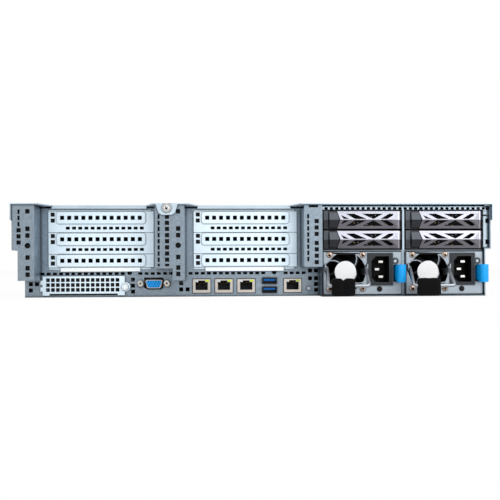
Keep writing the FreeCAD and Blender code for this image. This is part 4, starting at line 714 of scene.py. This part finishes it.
def screw_head(place, radius, height, turn):
    """A dome with a dark cross just proud of it, which is painted shade in its recess, turned by an angle in
    radians.
    """
    x, y, z = place
    c, s = np.cos(turn), np.sin(turn)
    arms = cross(radius * 0.62, radius * 0.13) @ np.array([(c, s), (-s, c)])
    return [(*turned(dome(radius, height), place), warm_nickel),
            (*pad(arms, (x, y - height * 0.86, z), [(0, 0), (0.22, 0), (0.25, 0.05)]), deep_black)]


# %% Screws, hub discs, status lights and plugs
SCREW_AWAY = (15.5, 15.9)     # from the middle of the four screws to each one
SCREW_ASIDE = 0.7             # that middle lies a little to the right of the fan's axis
LIGHT_AWAY = (47.3, 10.0)     # from the fan's axis to the status light
PLUG_AWAY = (32.3, -16.1)     # and to the blind plug


def on_face(fan, across=0.0, up=0.0):
    """A place on the face of a supply, from the axis of its fan."""
    return fan[0] + across, MODULE, fan[1] + up


for name, fan in SUPPLIES.items():
    parts = []
    for k, (side, above) in enumerate(((-1, 1), (1, 1), (-1, -1), (1, -1))):
        place = on_face(fan, SCREW_ASIDE + side * SCREW_AWAY[0], above * SCREW_AWAY[1])
        parts += screw_head(place, 2.8, 1.0, turn=0.4 + k)
    new_piece(f"{name}_fan_screws", parts, name)
    hub = turned([(10.1, -0.05), (10.1, 0.12), (9.9, 0.22), (9.6, 0.22), (0, 0.22)], on_face(fan), 40)
    new_piece(f"{name}_hub_disc", [(*hub, white_label_and_highlight)], name)
    light = on_face(fan, *LIGHT_AWAY)
    ring = turned([(2.9, -0.05), (2.9, 0.5), (2.5, 0.8), (1.7, 0.6), (1.5, 0.1), (0, 0.1)], light, 24)
    lens = turned(dome(1.45, 0.5), light, 16)
    new_piece(f"{name}_status_light", [(*ring, charcoal_abs), (*lens, clear_lens)], name)
    plug = turned([(2.5, -0.05), (2.5, 0.25), (2.2, 0.4), (0, 0.3)], on_face(fan, *PLUG_AWAY), 24)
    new_piece(f"{name}_blind_plug", [(*plug, deep_black)], name)
print("screws, discs, lights and plugs made")

# %% [markdown]
# ## Painted shade in gaps and holes
#
# Black frames line the mouth of each drive and supply bay, and black sheets close the inside of the
# hollow columns. Both are painted shade, and they are what makes the gaps and holes look black.

# %% Bay frames of painted shade
SHADE_FRAME_GAP = 0.3                           # between a drive or a supply and its frame of painted shade
SHADE_FRAME_PLACE = MODULE + 1.0
DRIVE_SHADE_FRAME, SUPPLY_SHADE_FRAME = 0.75, 0.7      # how wide the frames of painted shade are
SUPPLY_ASIDE = 15.5                      # the middle of a supply lies to the right of its fan's axis
SUPPLY_MOUTH = 36.9                      # half the width of a supply's bay


def shade_frame(x, z, half_width, half_height, width, place):
    """A rectangular section carried round a rectangle: four loops of four corners, closed on themselves. Made
    black, it is painted shade in a gap.
    """
    steps = np.array([(0, 0), (width, 0), (width, 0.4), (0, 0.4)])
    corners = np.array([(1, 1), (-1, 1), (-1, -1), (1, -1)])
    reach = np.array((half_width, half_height)) + steps[:, None, :1]
    loop = corners[None] * reach
    depth = np.broadcast_to((place - steps[:, 1])[:, None], loop.shape[:2])
    return skin(np.stack([x + loop[..., 0], depth, z + loop[..., 1]], axis=-1), wrap_rows=True)


parts = []
for number in DRIVES:
    (x, _, z), half = node_middle(f"drive_{number}_carrier"), node_half(f"drive_{number}_carrier") + SHADE_FRAME_GAP
    parts.append((*shade_frame(x, z, half[0], half[2], DRIVE_SHADE_FRAME, SHADE_FRAME_PLACE), deep_black))
for name, fan in SUPPLIES.items():
    z, rise = node_middle(f"{name}_case")[2], node_half(f"{name}_case")[2] + SHADE_FRAME_GAP
    parts.append((*shade_frame(fan[0] + SUPPLY_ASIDE, z, SUPPLY_MOUTH, rise, SUPPLY_SHADE_FRAME, SHADE_FRAME_PLACE), deep_black))
# Painted shade: black frames in the gaps round the drives and the supplies.
new_piece("bay_shadow_frames", parts, "root")

# %% Sheets of painted shade in the columns, and painted shade in the end holes
SHADE_SHEET_DEPTH = 2.7                         # the sheets lie behind the face of a column
SHADE_SHEETS = (
    # left, right, foot and top, just inside the folded sheet of each column
    (-215.5, -203.3, 17.6, 84.0), (-220.8, -215.5, 45.6, 84.0), (-91.5, -66.8, 28.4, 78.4),
    (-75.3, -66.8, 17.6, 28.4), (46.8, 61.0, 29.4, 82.2),
)
END_HOLE = rounded(1.93, 1.93, 0.3)      # outline of a square hole
# Painted shade: black sheets inside the hollow columns, and black squares in the end holes of the slot
# covers.
parts = []
for left, right, foot, top in SHADE_SHEETS:
    outline = rounded((right - left) / 2, (top - foot) / 2, 0.2)
    place = ((left + right) / 2, COLUMN + SHADE_SHEET_DEPTH, (foot + top) / 2)
    parts.append((*pad(outline, place, [(0, 0), (0.25, 0)]), deep_black))
for bay in BAYS:
    for row in SLOT_ROWS:
        for up in END_HOLES:
            place = (bay + END_HOLE_ASIDE, PANEL - 0.02, row + up)
            parts.append((*pad(END_HOLE, place, [(0, 0), (0.15, 0)]), deep_black))
new_piece("painted_shade_sheets", parts, "root")
# The frames and sheets made above are painted shade.
print("seals and films made")

# %% [markdown]
# ## Ports
#
# The video port is a tinned shell shaped like a D round a blue insert with fifteen sockets, between two
# hexagonal posts. Each network jack has eight gold contacts at its ceiling, a lime light pipe and a clear
# one. A dark line round every shell is painted shade in the cut-out of the panel behind it, and the sockets
# and the threaded holes of the posts are black discs of painted shade.

# %% Video port
D_HALF, D_HIGH = 8.15, 4.15              # half the width and height of the shell
D_SLOPE, D_CUT = 1.4, 1.1                # how far its foot steps in, and how much each corner is cut
SOCKET_ROWS = ((2.0, -0.55), (0.0, 0.6), (-2.0, -0.55))   # height of a row of sockets, and its shift
SOCKET_PITCH = 2.3
POST_AWAY = 12.5                         # from the middle of the port to a post
VGA_X, _, VGA_Z = node_middle("vga_connector") + (0.5, 0.0, 0.8)


def d_outline(grow):
    """The D: a rectangle whose lower corners step in by the slope, with every corner cut, grown all round."""
    a, b, c = D_HALF + grow, D_HIGH + grow, D_CUT
    return np.array([(a, b - c), (a - c, b), (c - a, b), (-a, b - c), (D_SLOPE - a, c - b),
                     (D_SLOPE - a + c, -b), (a - D_SLOPE - c, -b), (a - D_SLOPE, c - b)])


vga = (VGA_X, PANEL, VGA_Z)
# Painted shade: the black D just round the shell stands for the cut-out in the panel.
parts = [(*pad(d_outline(0.0), vga, [(-1, 0), (3.6, 0), (4.2, 0.3), (4.2, 0.7), (3.9, 0.75)]), tin),
         (*pad(d_outline(1.0), vga, [(0, 0), (0.35, 0), (0.35, 0.3)]), deep_black),
         (*pad(d_outline(-0.9), vga, [(3.0, 0), (4.35, 0), (4.5, 0.15)]), port_blue)]
# Painted shade: each socket is a black disc on the insert.
for up, shift in SOCKET_ROWS:
    for column in range(-2, 3):
        place = (VGA_X + SOCKET_PITCH * column + shift, PANEL - 4.45, VGA_Z + up)
        parts.append((*turned([(0.5, 0), (0.5, 0.1), (0.35, 0.12), (0, 0.12)], place, 8), deep_black))
for side in (-1, 1):
    place = (VGA_X + side * POST_AWAY, PANEL, VGA_Z)
    post = turned([(3.0, 0), (3.0, 3.6), (2.6, 4.4), (1.5, 4.4), (1.3, 4.0), (0, 4.0)], place, 6)
    # Painted shade: the threaded hole of each post is a black disc.
    thread = turned([(1.35, 4.0), (1.35, 4.45), (1.2, 4.5), (0, 4.5)], place, 14)
    parts += [(*post, tin), (*thread, deep_black)]
new_piece("video_port_face", parts, "root", replaces=["vga_connector"])

# %% Network jacks
SHELL_HALF = (8.4, 6.45)                 # half the width and height of a jack's shell
PIPES = (
    # across from the middle of the jack, half width, half height, how far proud, and the finish
    (5.3, 1.7, 0.9, 0.3, lime_lens), (-5.3, 1.5, 0.8, 0.2, clear_lens),
)
PIPE_UP = 4.9
CONTACT_PITCH = 1.02
CONTACT_ROUTE = ((9.0, 3.2), (2.6, 3.0), (5.5, 0.4))      # depth behind the panel, and height
parts = []
for x in LAN_X:
    # Painted shade: a black frame round each shell stands for the cut-out in the panel.
    parts.append((*shade_frame(x, LAN_Z, *SHELL_HALF, 0.5, PANEL), deep_black))
    for across, half_width, half_height, proud, finish in PIPES:
        pipe = pad(rounded(half_width, half_height, 0.3), (x + across, PANEL - 0.6, LAN_Z + PIPE_UP),
                   [(0, 0), (proud, 0), (proud + 0.1, 0.2)])
        parts.append((*pipe, finish))
    for contact in range(8):
        across = x + CONTACT_PITCH * (contact - 3.5)
        route = rounded_route([(across, PANEL + back, LAN_Z + up) for back, up in CONTACT_ROUTE], 0.8, 4)
        parts.append((*wire(route, 0.2, (1, 0, 0), 5), gold))
new_piece("network_jack_fittings", parts, "root")

# %% Data ports
# Painted shade: a black frame round each data port stands for the cut-out in the panel.
parts = [(*shade_frame(USB_X, USB_Z + side * USB_RISE, 6.65, 2.6, 0.45, PANEL - 0.5), deep_black) for side in (-1, 1)]
new_piece("data_port_frames", parts, "root")

# %% Cover screw and thumbscrew
x, _, z = node_middle("cover_screw")
head = turned([(4.1, 0), (4.1, 0.5), (3.8, 0.9), (3.4, 0.9), (3.2, 0.6), (2.9, 0.6), (2.7, 1.3),
               (1.6, 1.75), (0, 1.9)], (x, REAR, z), 32)
# Painted shade: a dark cross just proud of the head stands for its recess.
arms = cross(1.7, 0.35) @ np.array([(0.8, 0.6), (-0.6, 0.8)])
slit = pad(arms, (x, REAR - 1.45, z), [(0, 0), (0.45, 0), (0.5, 0.05)])
new_piece("cover_screw_head", [(*head, bright_zinc_and_lip_highlight), (*slit, charcoal_abs)], "cover")
thumb = (NET_EAR[0], PANEL - 3.85, NET_EAR[1])
head = turned([(3.1, -2.4), (3.1, -0.4), (2.7, 0), (2.2, 0), (2.0, -0.25), (0, -0.2)], thumb, 28)
new_piece("card_thumbscrew_head", [(*head, bright_zinc_and_lip_highlight)], "root")
print("ports and their screws made")

# %% [markdown]
# ## Sheet beside the drives
#
# The side wall above the slide rail turns in beside the drives as a narrow flange with two notches. It is
# one flat outline, carried forward by the thickness of the sheet.

# %% Side flange
FLANGE_LEFT, FLANGE_FOOT = 216.5, 45.6
FLANGE = np.array([(0.0, 0.0), (4.6, 0.0), (4.6, 3.0), (2.2, 3.0), (2.2, 7.6), (4.6, 7.6), (4.6, 23.2),
                   (2.2, 23.2), (2.2, 27.4), (4.6, 27.4), (4.6, 35.4), (0.0, 35.4)])
middle = FLANGE.max(axis=0) / 2
flange = pad(FLANGE - middle, (FLANGE_LEFT + middle[0], MODULE + 2.4, FLANGE_FOOT + middle[1]),
             [(0, 0), (0.8, 0)])
# Painted shade: a dark slot in the side wall, and a black strip behind the flange.
slot_shade = pad(rounded(2.0, 0.65, 0.2), (218.4, MODULE + 1.55, 76.0), [(0, 0), (0.1, 0)])
shade_backing = pad(rounded(2.6, 17.6, 0.1), (218.9, MODULE + 4.4, 63.3), [(0, 0), (0.25, 0)])
new_piece("side_flange", [(*flange, cover_zinc), (*slot_shade, deep_black), (*shade_backing, deep_black)], "root")

# %% [markdown]
# ## Fan guard arms
#
# Four arms hold the hub of a fan guard, and each is swept like a blade so that its wake doesn't drone. An
# arm is a wire along a spiral: the radius grows evenly while the angle turns, slowly at first.

# %% Guard arms
ARM_START = np.radians([33.0, 123.0, 213.0, 303.0])
ARM_TURN = np.radians(26.0)
ARM_FROM, ARM_LONG, ARM_RADIUS = 9.6, 9.6, 0.62
t = np.linspace(0, 1, 9)
for name, (x, z) in SUPPLIES.items():
    parts = []
    for start in ARM_START:
        radius, angle = ARM_FROM + ARM_LONG * t, start + ARM_TURN * t ** 1.3
        route = np.stack([x + radius * np.cos(angle), np.full_like(t, MODULE + 0.35),
                          z + radius * np.sin(angle)], -1)
        parts.append((*wire(route, ARM_RADIUS, (0, 1, 0), 8), supply_zinc))
    new_piece(f"{name}_guard_arms", parts, name)
print("guards made")

# %% [markdown]
# ## Pierced sheets
#
# A sheet with windows is a flat outline with holes. A constrained Delaunay triangulation cuts it into
# triangles that respect every edge, also the creases. Then each point gets its depth from a formula, so one
# flat drawing gives a folded lever as well as a flat cover.

# %% Outline with windows to mesh
def inside(loop, points):
    """True where a ray from the point towards +x crosses the sides of the loop an odd number of times."""
    (x0, z0), (x1, z1) = loop.T, np.roll(loop, -1, axis=0).T
    x, z = points[:, :1], points[:, 1:]
    crossed = (z0 > z) != (z1 > z)
    rise = np.where(z1 == z0, 1.0, z1 - z0)
    return (crossed & (x < x0 + (z - z0) * (x1 - x0) / rise)).sum(axis=1) % 2 == 1


def pierced(outline, windows, depth_of, sheet, peak=(), creases=()):
    """Triangles between the outline and its windows, at depth d(x, z) and again a sheet's thickness behind.

    A peak is a point inside the sheet, and each crease runs from it to a corner of the outline. The sides
    that only one triangle has are the rims, and a wall joins the two layers there.
    """
    loops = [np.array(loop, dtype=float) for loop in (outline, *windows)]
    starts = np.cumsum([0] + [len(loop) for loop in loops])
    rings = [list(range(a, b)) for a, b in zip(starts[:-1], starts[1:])]
    edges = [(ring[k - 1], ring[k]) for ring in rings for k in range(len(ring))]
    edges += [(int(starts[-1]), corner) for corner in creases]
    flat = [Vector(point) for point in np.vstack(loops + [np.array(point)[None] for point in peak])]
    found = geometry.delaunay_2d_cdt(flat, edges, [], 0, 1e-5)
    flat, triangles = np.array(found[0]), np.array(found[2])
    middles = flat[triangles].mean(axis=1)
    kept = inside(loops[0], middles) & ~np.any([inside(loop, middles) for loop in loops[1:]], axis=0)
    triangles = triangles[kept]
    sides = np.concatenate([triangles[:, pair] for pair in ([0, 1], [1, 2], [2, 0])])
    rim, uses = np.unique(np.sort(sides, axis=1), axis=0, return_counts=True)
    rim, count = rim[uses == 1], len(flat)
    y = depth_of(flat[:, 0], flat[:, 1])
    points = np.vstack([np.stack([flat[:, 0], y + back, flat[:, 1]], -1) for back in (0, sheet)])
    walls = np.stack([rim[:, 0], rim[:, 1], rim[:, 1] + count, rim[:, 0] + count], -1)
    return points, triangles.tolist() + (triangles + count).tolist() + walls.tolist()


# %% [markdown]
# ## Lever lattice
#
# A drive lever is a ridged die casting. Its lattice keeps air moving past the drive, and a small facet
# falls away towards the hinge. The drawing is made once, for the upper half, and mirrored for the lower.
# Two creases mark the facet and one marks the ridge, so that the triangulation folds there and nowhere else.

# %% Levers
LEVER_HALF, LEVER_SHEET = 8.2, 1.2       # half the height of a lever, and how thick its wall is
RIDGE = 4.4                              # how far the ridge stands out
ROOF_SLOPE, FACET_SLOPE = 0.485, 0.507
FACET_X = 62.6                           # where on the ridge the facet starts, from the drive's left side
HINGE_X, HINGE_Y = 70.0, 2.6             # hinge line, from the drive's left side and behind its face
BORDER = ((12.5, -LEVER_HALF), (HINGE_X, -LEVER_HALF), (HINGE_X, -7.7), (HINGE_X, 0), (HINGE_X, 7.7),
          (HINGE_X, LEVER_HALF), (12.5, LEVER_HALF), (14.9, 0))
CREASES = (7, 2, 4)                      # corners of the border that creases run to: notch and hinge
WINDOWS = (
    # openings above the ridge: (from the drive's left side, above the ridge)
    ((15.9, 4.1), (16.5, 4.1), (23.4, 0.75), (17.9, 0.75)),
    ((20.5, 5.7), (28.3, 5.7), (39.2, 0.9), (39.0, 0.6), (28.7, 0.6)),
    ((35.5, 5.7), (55.7, 5.7), (46.7, 0.9), (46.0, 0.6), (45.3, 0.9)),
    ((61.3, 5.7), (67.1, 5.7), (67.2, 5.2), (59.6, 0.9), (58.8, 0.6), (53.2, 0.6), (53.1, 1.0)),
)


def roof(x, z):
    """The deeper of two planes: the ridged roof, and the facet that falls away towards the hinge."""
    return np.maximum(ROOF_SLOPE * np.abs(z), FACET_SLOPE * (x - FACET_X)) - RIDGE


def hinge_shell(x, y, z):
    """The rounded end of a lever: an arc at radius 3.0, and back along radius 2.45, drawn out in height."""
    angle = np.radians(np.linspace(-92, -20, 9))
    section = np.vstack([np.stack([radius * np.cos(a), radius * np.sin(a)], -1)
                         for radius, a in ((3.0, angle), (2.45, angle[::-1]))]) + (x, y)
    heights = z + np.array([-1, 0, 1]) * (LEVER_HALF - 0.1)
    return skin(np.array([np.column_stack([section, np.full(len(section), height)]) for height in heights]))


for number in DRIVES:
    left, middle = node_corners(f"drive_{number}_carrier")[0][0], drive_middle(number)
    border = np.array(BORDER) + (left, middle)
    windows = [np.array(loop) * (1, side) + (left, middle) for loop in WINDOWS for side in (1, -1)]
    sheet = pierced(border, windows, lambda x, z: MODULE + roof(x - left, z - middle), LEVER_SHEET,
                    peak=[(left + FACET_X, middle)], creases=CREASES)
    hinge = (left + HINGE_X, MODULE + HINGE_Y, middle)
    points, faces = turned([(2.7, -6.9), (2.7, 6.9)], (0, 0, 0), 16)
    barrel = points[:, [0, 2, 1]] + hinge, faces
    arm = pad(rounded(1.6, 6.6, 0.2), (hinge[0] - 3.0, MODULE + 2.4, middle), [(0, 0), (3.2, 0)])
    new_piece(f"drive_{number}_lever_lattice",
              [(*piece, lever_lacquer_shaded_below[number]) for piece in (sheet, hinge_shell(*hinge), barrel, arm)],
              f"drive_{number}_lever", replaces=[f"drive_{number}_lever"], smooth=12)
print("levers made")

# %% [markdown]
# ## Network card cover
#
# The bay of the network card is closed by a flat sheet with three rows of rounded square holes and two
# small tabs at its left side. It overlaps the ear of its thumbscrew, and a dark line along its foot is
# painted shade in the gap below it. Black behind the holes is painted shade, and it hides that the bay is
# empty.

# %% Network card cover
HOLE_PITCH, HOLE_HALF = (4.66, 4.63), 1.78
TAB, TAB_REACH = 4.0, 2.0                # height of a tab and of the step beside it, and how far it reaches
low, high = node_corners("network_card_cover")
x0, x1, z0, z1 = low[0] + TAB_REACH, NET_EAR[0] - 0.5, low[2], high[2]
tab_left = x0 - TAB_REACH
outline = [(x0, z0), (x0 + 6.3, z0), (x0 + 6.3, z0 + 1.7), (x1 - 6.5, z0 + 1.7), (x1 - 6.5, z0), (x1, z0),
           (x1, z1), (x0, z1), (x0, z1 - TAB), (tab_left, z1 - TAB), (tab_left, z1 - 2 * TAB),
           (x0, z1 - 2 * TAB), (x0, z0 + 2 * TAB), (tab_left, z0 + 2 * TAB), (tab_left, z0 + TAB),
           (x0, z0 + TAB)]
columns = x0 + 4.95 + HOLE_PITCH[0] * np.arange(15)
rows = z1 - 3.6 - HOLE_PITCH[1] * np.arange(3)
windows = [rounded(HOLE_HALF, HOLE_HALF, 0.45) + (x, z) for x in columns for z in rows]
cover = pierced(outline, windows, lambda x, z: np.full_like(x, PANEL - 1.0), 0.95)
ear = turned([(4.6, 0), (4.6, 0.9), (4.4, 1.0), (0, 1.0)], (NET_EAR[0], PANEL - 0.05, NET_EAR[1]), 28)
half, centre = (x1 - x0) / 2, (x0 + x1) / 2
# Painted shade: a black sheet behind the holes, and a dark line in the gap along the foot.
shade_backing = pad(rounded(half - 5.4, 7.2, 0.3), (centre - 1.4, PANEL - 0.01, z1 - 8.2), [(0, 0), (0.04, 0)])
line = pad(rounded(half - 7.2, 0.6, 0.2), (centre, PANEL - 0.01, z0 + 0.8), [(0, 0), (0.2, 0)])
parts = [(*cover, slot_zinc), (*ear, slot_zinc), (*shade_backing, deep_black), (*line, deep_black)]
new_piece("network_card_cover_sheet", parts, "root", replaces=["network_card_cover"])
print(len(windows), "holes in the network card cover")

# %% [markdown]
# ## Latch tabs
#
# A latch is a hooked plastic tab that a thumb pushes sideways. Its plan, seen from above, is carried up
# through a few levels. The hook draws in at both ends, which rounds it, and the root behind the face is less
# high than the hook, so that it clears the case.

# %% Latch tabs
LATCH_PLAN = np.array([
    # from the latch's left side, and behind the face of the supply
    (0.0, 12.0), (0.0, -6.6), (0.5, -7.8), (2.6, -9.2), (3.5, -9.2), (7.6, -6.9), (8.2, -6.2), (8.0, -5.2),
    (7.2, -5.0), (1.6, -3.2), (1.6, 12.0),
])
HOOK_CENTRE = np.array((3.5, -6.0))                     # what the hook draws in towards
LATCH_ROWS = ((0.0, 0.9), (0.35, 0.3), (0.9, 0.0))      # up from the end of the hook, and drawn in by
DRAW_SHARE = 0.14                                       # share of the hook's size for each unit drawn in
ROOT_FOOT, ROOT_TOP = 4.6, 1.3                          # how much less high the root is, below and above
for name in SUPPLIES:
    low, high = node_corners(f"{name}_latch")
    foot, top = low[2] + 0.2, high[2] - 0.2
    levels = [(foot + up, inset) for up, inset in LATCH_ROWS]
    levels += [(top - up, inset) for up, inset in LATCH_ROWS[::-1]]
    rings = []
    for z, inset in levels:
        drawn = HOOK_CENTRE + (LATCH_PLAN - HOOK_CENTRE) * (1 - inset * DRAW_SHARE)
        ring = np.where(LATCH_PLAN[:, 1:] < 0, drawn, LATCH_PLAN)
        shift = np.clip(foot + ROOT_FOOT - z, 0, None) - np.clip(z - top + ROOT_TOP, 0, None)
        height = z + np.where(LATCH_PLAN[:, 1] < 0, 0.0, shift)
        rings.append(np.column_stack([low[0] + ring[:, 0], MODULE + ring[:, 1], height]))
    new_piece(f"{name}_latch_tab", [(*skin(np.array(rings)), blue_abs)], f"{name}_latch",
              replaces=[f"{name}_latch"], smooth=50)
print("latches made")

# %% [markdown]
# ## Behind the lattice
#
# The drive boards show through the lattice of each lever as black, which is painted shade on the carrier's
# faces behind the lever. A few gold and white specks are painted highlights where solder joints catch the
# light: small turned domes on the black plate behind the lever. The strip to the left of the lever is ribbed
# for a fingertip, and each rib is a narrow pad.

# %% Solder specks and ribs
SPECKS = (
    # from the drive's left side, above its middle, and 1 where it is gold
    (29.7, 1.2, 1), (29.9, -2.6, 1), (46.7, 3.9, 0), (46.9, 1.5, 1), (46.6, -5.0, 1), (55.0, 1.2, 1),
    (55.2, -2.2, 0), (17.2, -2.7, 0), (22.0, -5.0, 0), (33.5, -2.2, 0), (50.0, 4.6, 0), (42.0, -3.8, 0),
)
SPECK_DEPTH = 6.35                       # behind the face of the drive
RIB_LEFT, RIB_PITCH, RIB_COUNT = 5.6, 1.15, 6
for number in DRIVES:
    low, high = node_corners(f"drive_{number}_carrier")
    middle = drive_middle(number)
    parts = []
    # Painted highlights: specks where solder joints catch the light, white and gold.
    for across, up, warm in SPECKS:
        place = (low[0] + across, MODULE + SPECK_DEPTH, middle + up)
        parts.append((*turned([(0.42, 0), (0.36, 0.2), (0, 0.3)], place, 7), gold if warm else white_label_and_highlight))
    for rib in range(RIB_COUNT):
        outline = rounded(0.16, (high[2] - low[2]) / 2 - 1.0, 0.1)
        place = (low[0] + RIB_LEFT + rib * RIB_PITCH, MODULE - 0.2, middle)
        parts.append((*pad(outline, place, [(0, 0), (0.75, 0), (0.8, 0.05)]), deep_black))
    new_piece(f"drive_{number}_specks_and_ribs", parts, f"drive_{number}")
print(len(made), "pieces in all")

# %% [markdown]
# ## Studio
#
# A pale floor and a pale room, a wide soft box behind the camera's right shoulder, a weaker one on the left
# and one overhead. Metal shows what it mirrors, so the room is white to reflections as well as to the
# camera, and it lights the object at an even, plain level.

# %% Room and floor
ROOM_LIGHT = 0.62     # how bright the room is as a lamp, where 1 is white


def room():
    """White where the camera, a mirror or a lens looks at it, and a softer level where it lights things."""
    world = bpy.data.worlds.new("pale_room")
    scene.world = world
    world.use_nodes = True
    tree = world.node_tree
    tree.nodes.clear()
    path = add(tree, "LightPath")
    mirrored = add(tree, "Math", {0: path.outputs["Is Glossy Ray"], 1: path.outputs["Is Transmission Ray"]},
                   operation="MAXIMUM")
    seen = add(tree, "Math", {0: path.outputs["Is Camera Ray"], 1: mirrored.outputs["Value"]},
               operation="MAXIMUM")
    strength = add(tree, "MapRange", {"Value": seen.outputs["Value"], "To Min": ROOM_LIGHT, "To Max": 1.0})
    light = add(tree, "Background", {"Color": linear("#FFFFFF"), "Strength": strength.outputs["Result"]})
    add(tree, "OutputWorld", {"Surface": light.outputs["Background"]})


CAMERA_SHARE = 0.94   # how much of the floor's colour is plain white to the camera


def pale_floor():
    """Most of the floor glows white for the camera, and the rest is matt, so a soft shadow stays."""
    material = bpy.data.materials.new("pale_floor")
    material.use_nodes = True
    tree = material.node_tree
    tree.nodes.clear()
    path = add(tree, "LightPath")
    share = add(tree, "Math", {0: path.outputs["Is Camera Ray"], 1: CAMERA_SHARE}, operation="MULTIPLY")
    matt = add(tree, "BsdfDiffuse", {"Color": linear("#F2F2F2")})
    glow = add(tree, "Emission", {"Color": linear("#FFFFFF"), "Strength": 1.0})
    mixed = add(tree, "MixShader", {0: share.outputs["Value"], 1: matt.outputs["BSDF"],
                                    2: glow.outputs["Emission"]})
    add(tree, "OutputMaterial", {"Surface": mixed.outputs["Shader"]})
    return material


room()
FLOOR_HALF = 30.0
corners = np.array([(-1, -1, 0), (1, -1, 0), (1, 1, 0), (-1, 1, 0)]) * FLOOR_HALF
floor_mesh = bpy.data.meshes.new("floor")
floor_mesh.from_pydata(corners.tolist(), [], [(0, 1, 2, 3)])
floor_mesh.materials.append(pale_floor())
floor = bpy.data.objects.new("floor", floor_mesh)
scene.collection.objects.link(floor)

# %% Lamps
LAMPS = [
    # name, place in metres, size in metres, power in watts
    ("key_box", (1.5, -2.2, 1.1), 2.2, 40.0),
    ("fill_box", (-1.6, -1.8, 0.9), 1.2, 6.0),
    ("top_box", (0.0, 0.2, 2.2), 2.0, 16.0),
]
for name, place, size, power in LAMPS:
    light = bpy.data.lights.new(name, "AREA")
    light.size = size
    light.energy = power
    lamp = bpy.data.objects.new(name, light)
    lamp.location = place
    lamp.rotation_euler = (-lamp.location).to_track_quat("-Z", "Y").to_euler()
    scene.collection.objects.link(lamp)
print(len(LAMPS), "lamps")

# %% [markdown]
# ## Camera
#
# The camera stands low, on a level with the ports, a little left of the middle, and looks almost square at
# the rear. A view that stays square while the object sits off centre comes from a shifted lens.

# %% Place the camera
EYE = np.array((-38.79, REAR - 643.0, 26.11))          # in millimetres
TILT, ROLL, TURN = 0.00097, 0.00455, -0.04964          # up, about the line of sight, and to the right
SHIFT = (0.00337, 0.03675)                             # of the lens, in widths of the picture
camera_data = bpy.data.cameras.new("camera")
camera_data.sensor_width = 36.0
camera_data.lens = 50.225
camera_data.shift_x, camera_data.shift_y = SHIFT
camera_data.clip_start = 0.01
camera = bpy.data.objects.new("camera", camera_data)
camera.location = EYE * MM
camera.rotation_euler = (math.pi / 2 + TILT, ROLL, TURN)
scene.collection.objects.link(camera)
scene.camera = camera
scene.view_settings.view_transform = "Standard"
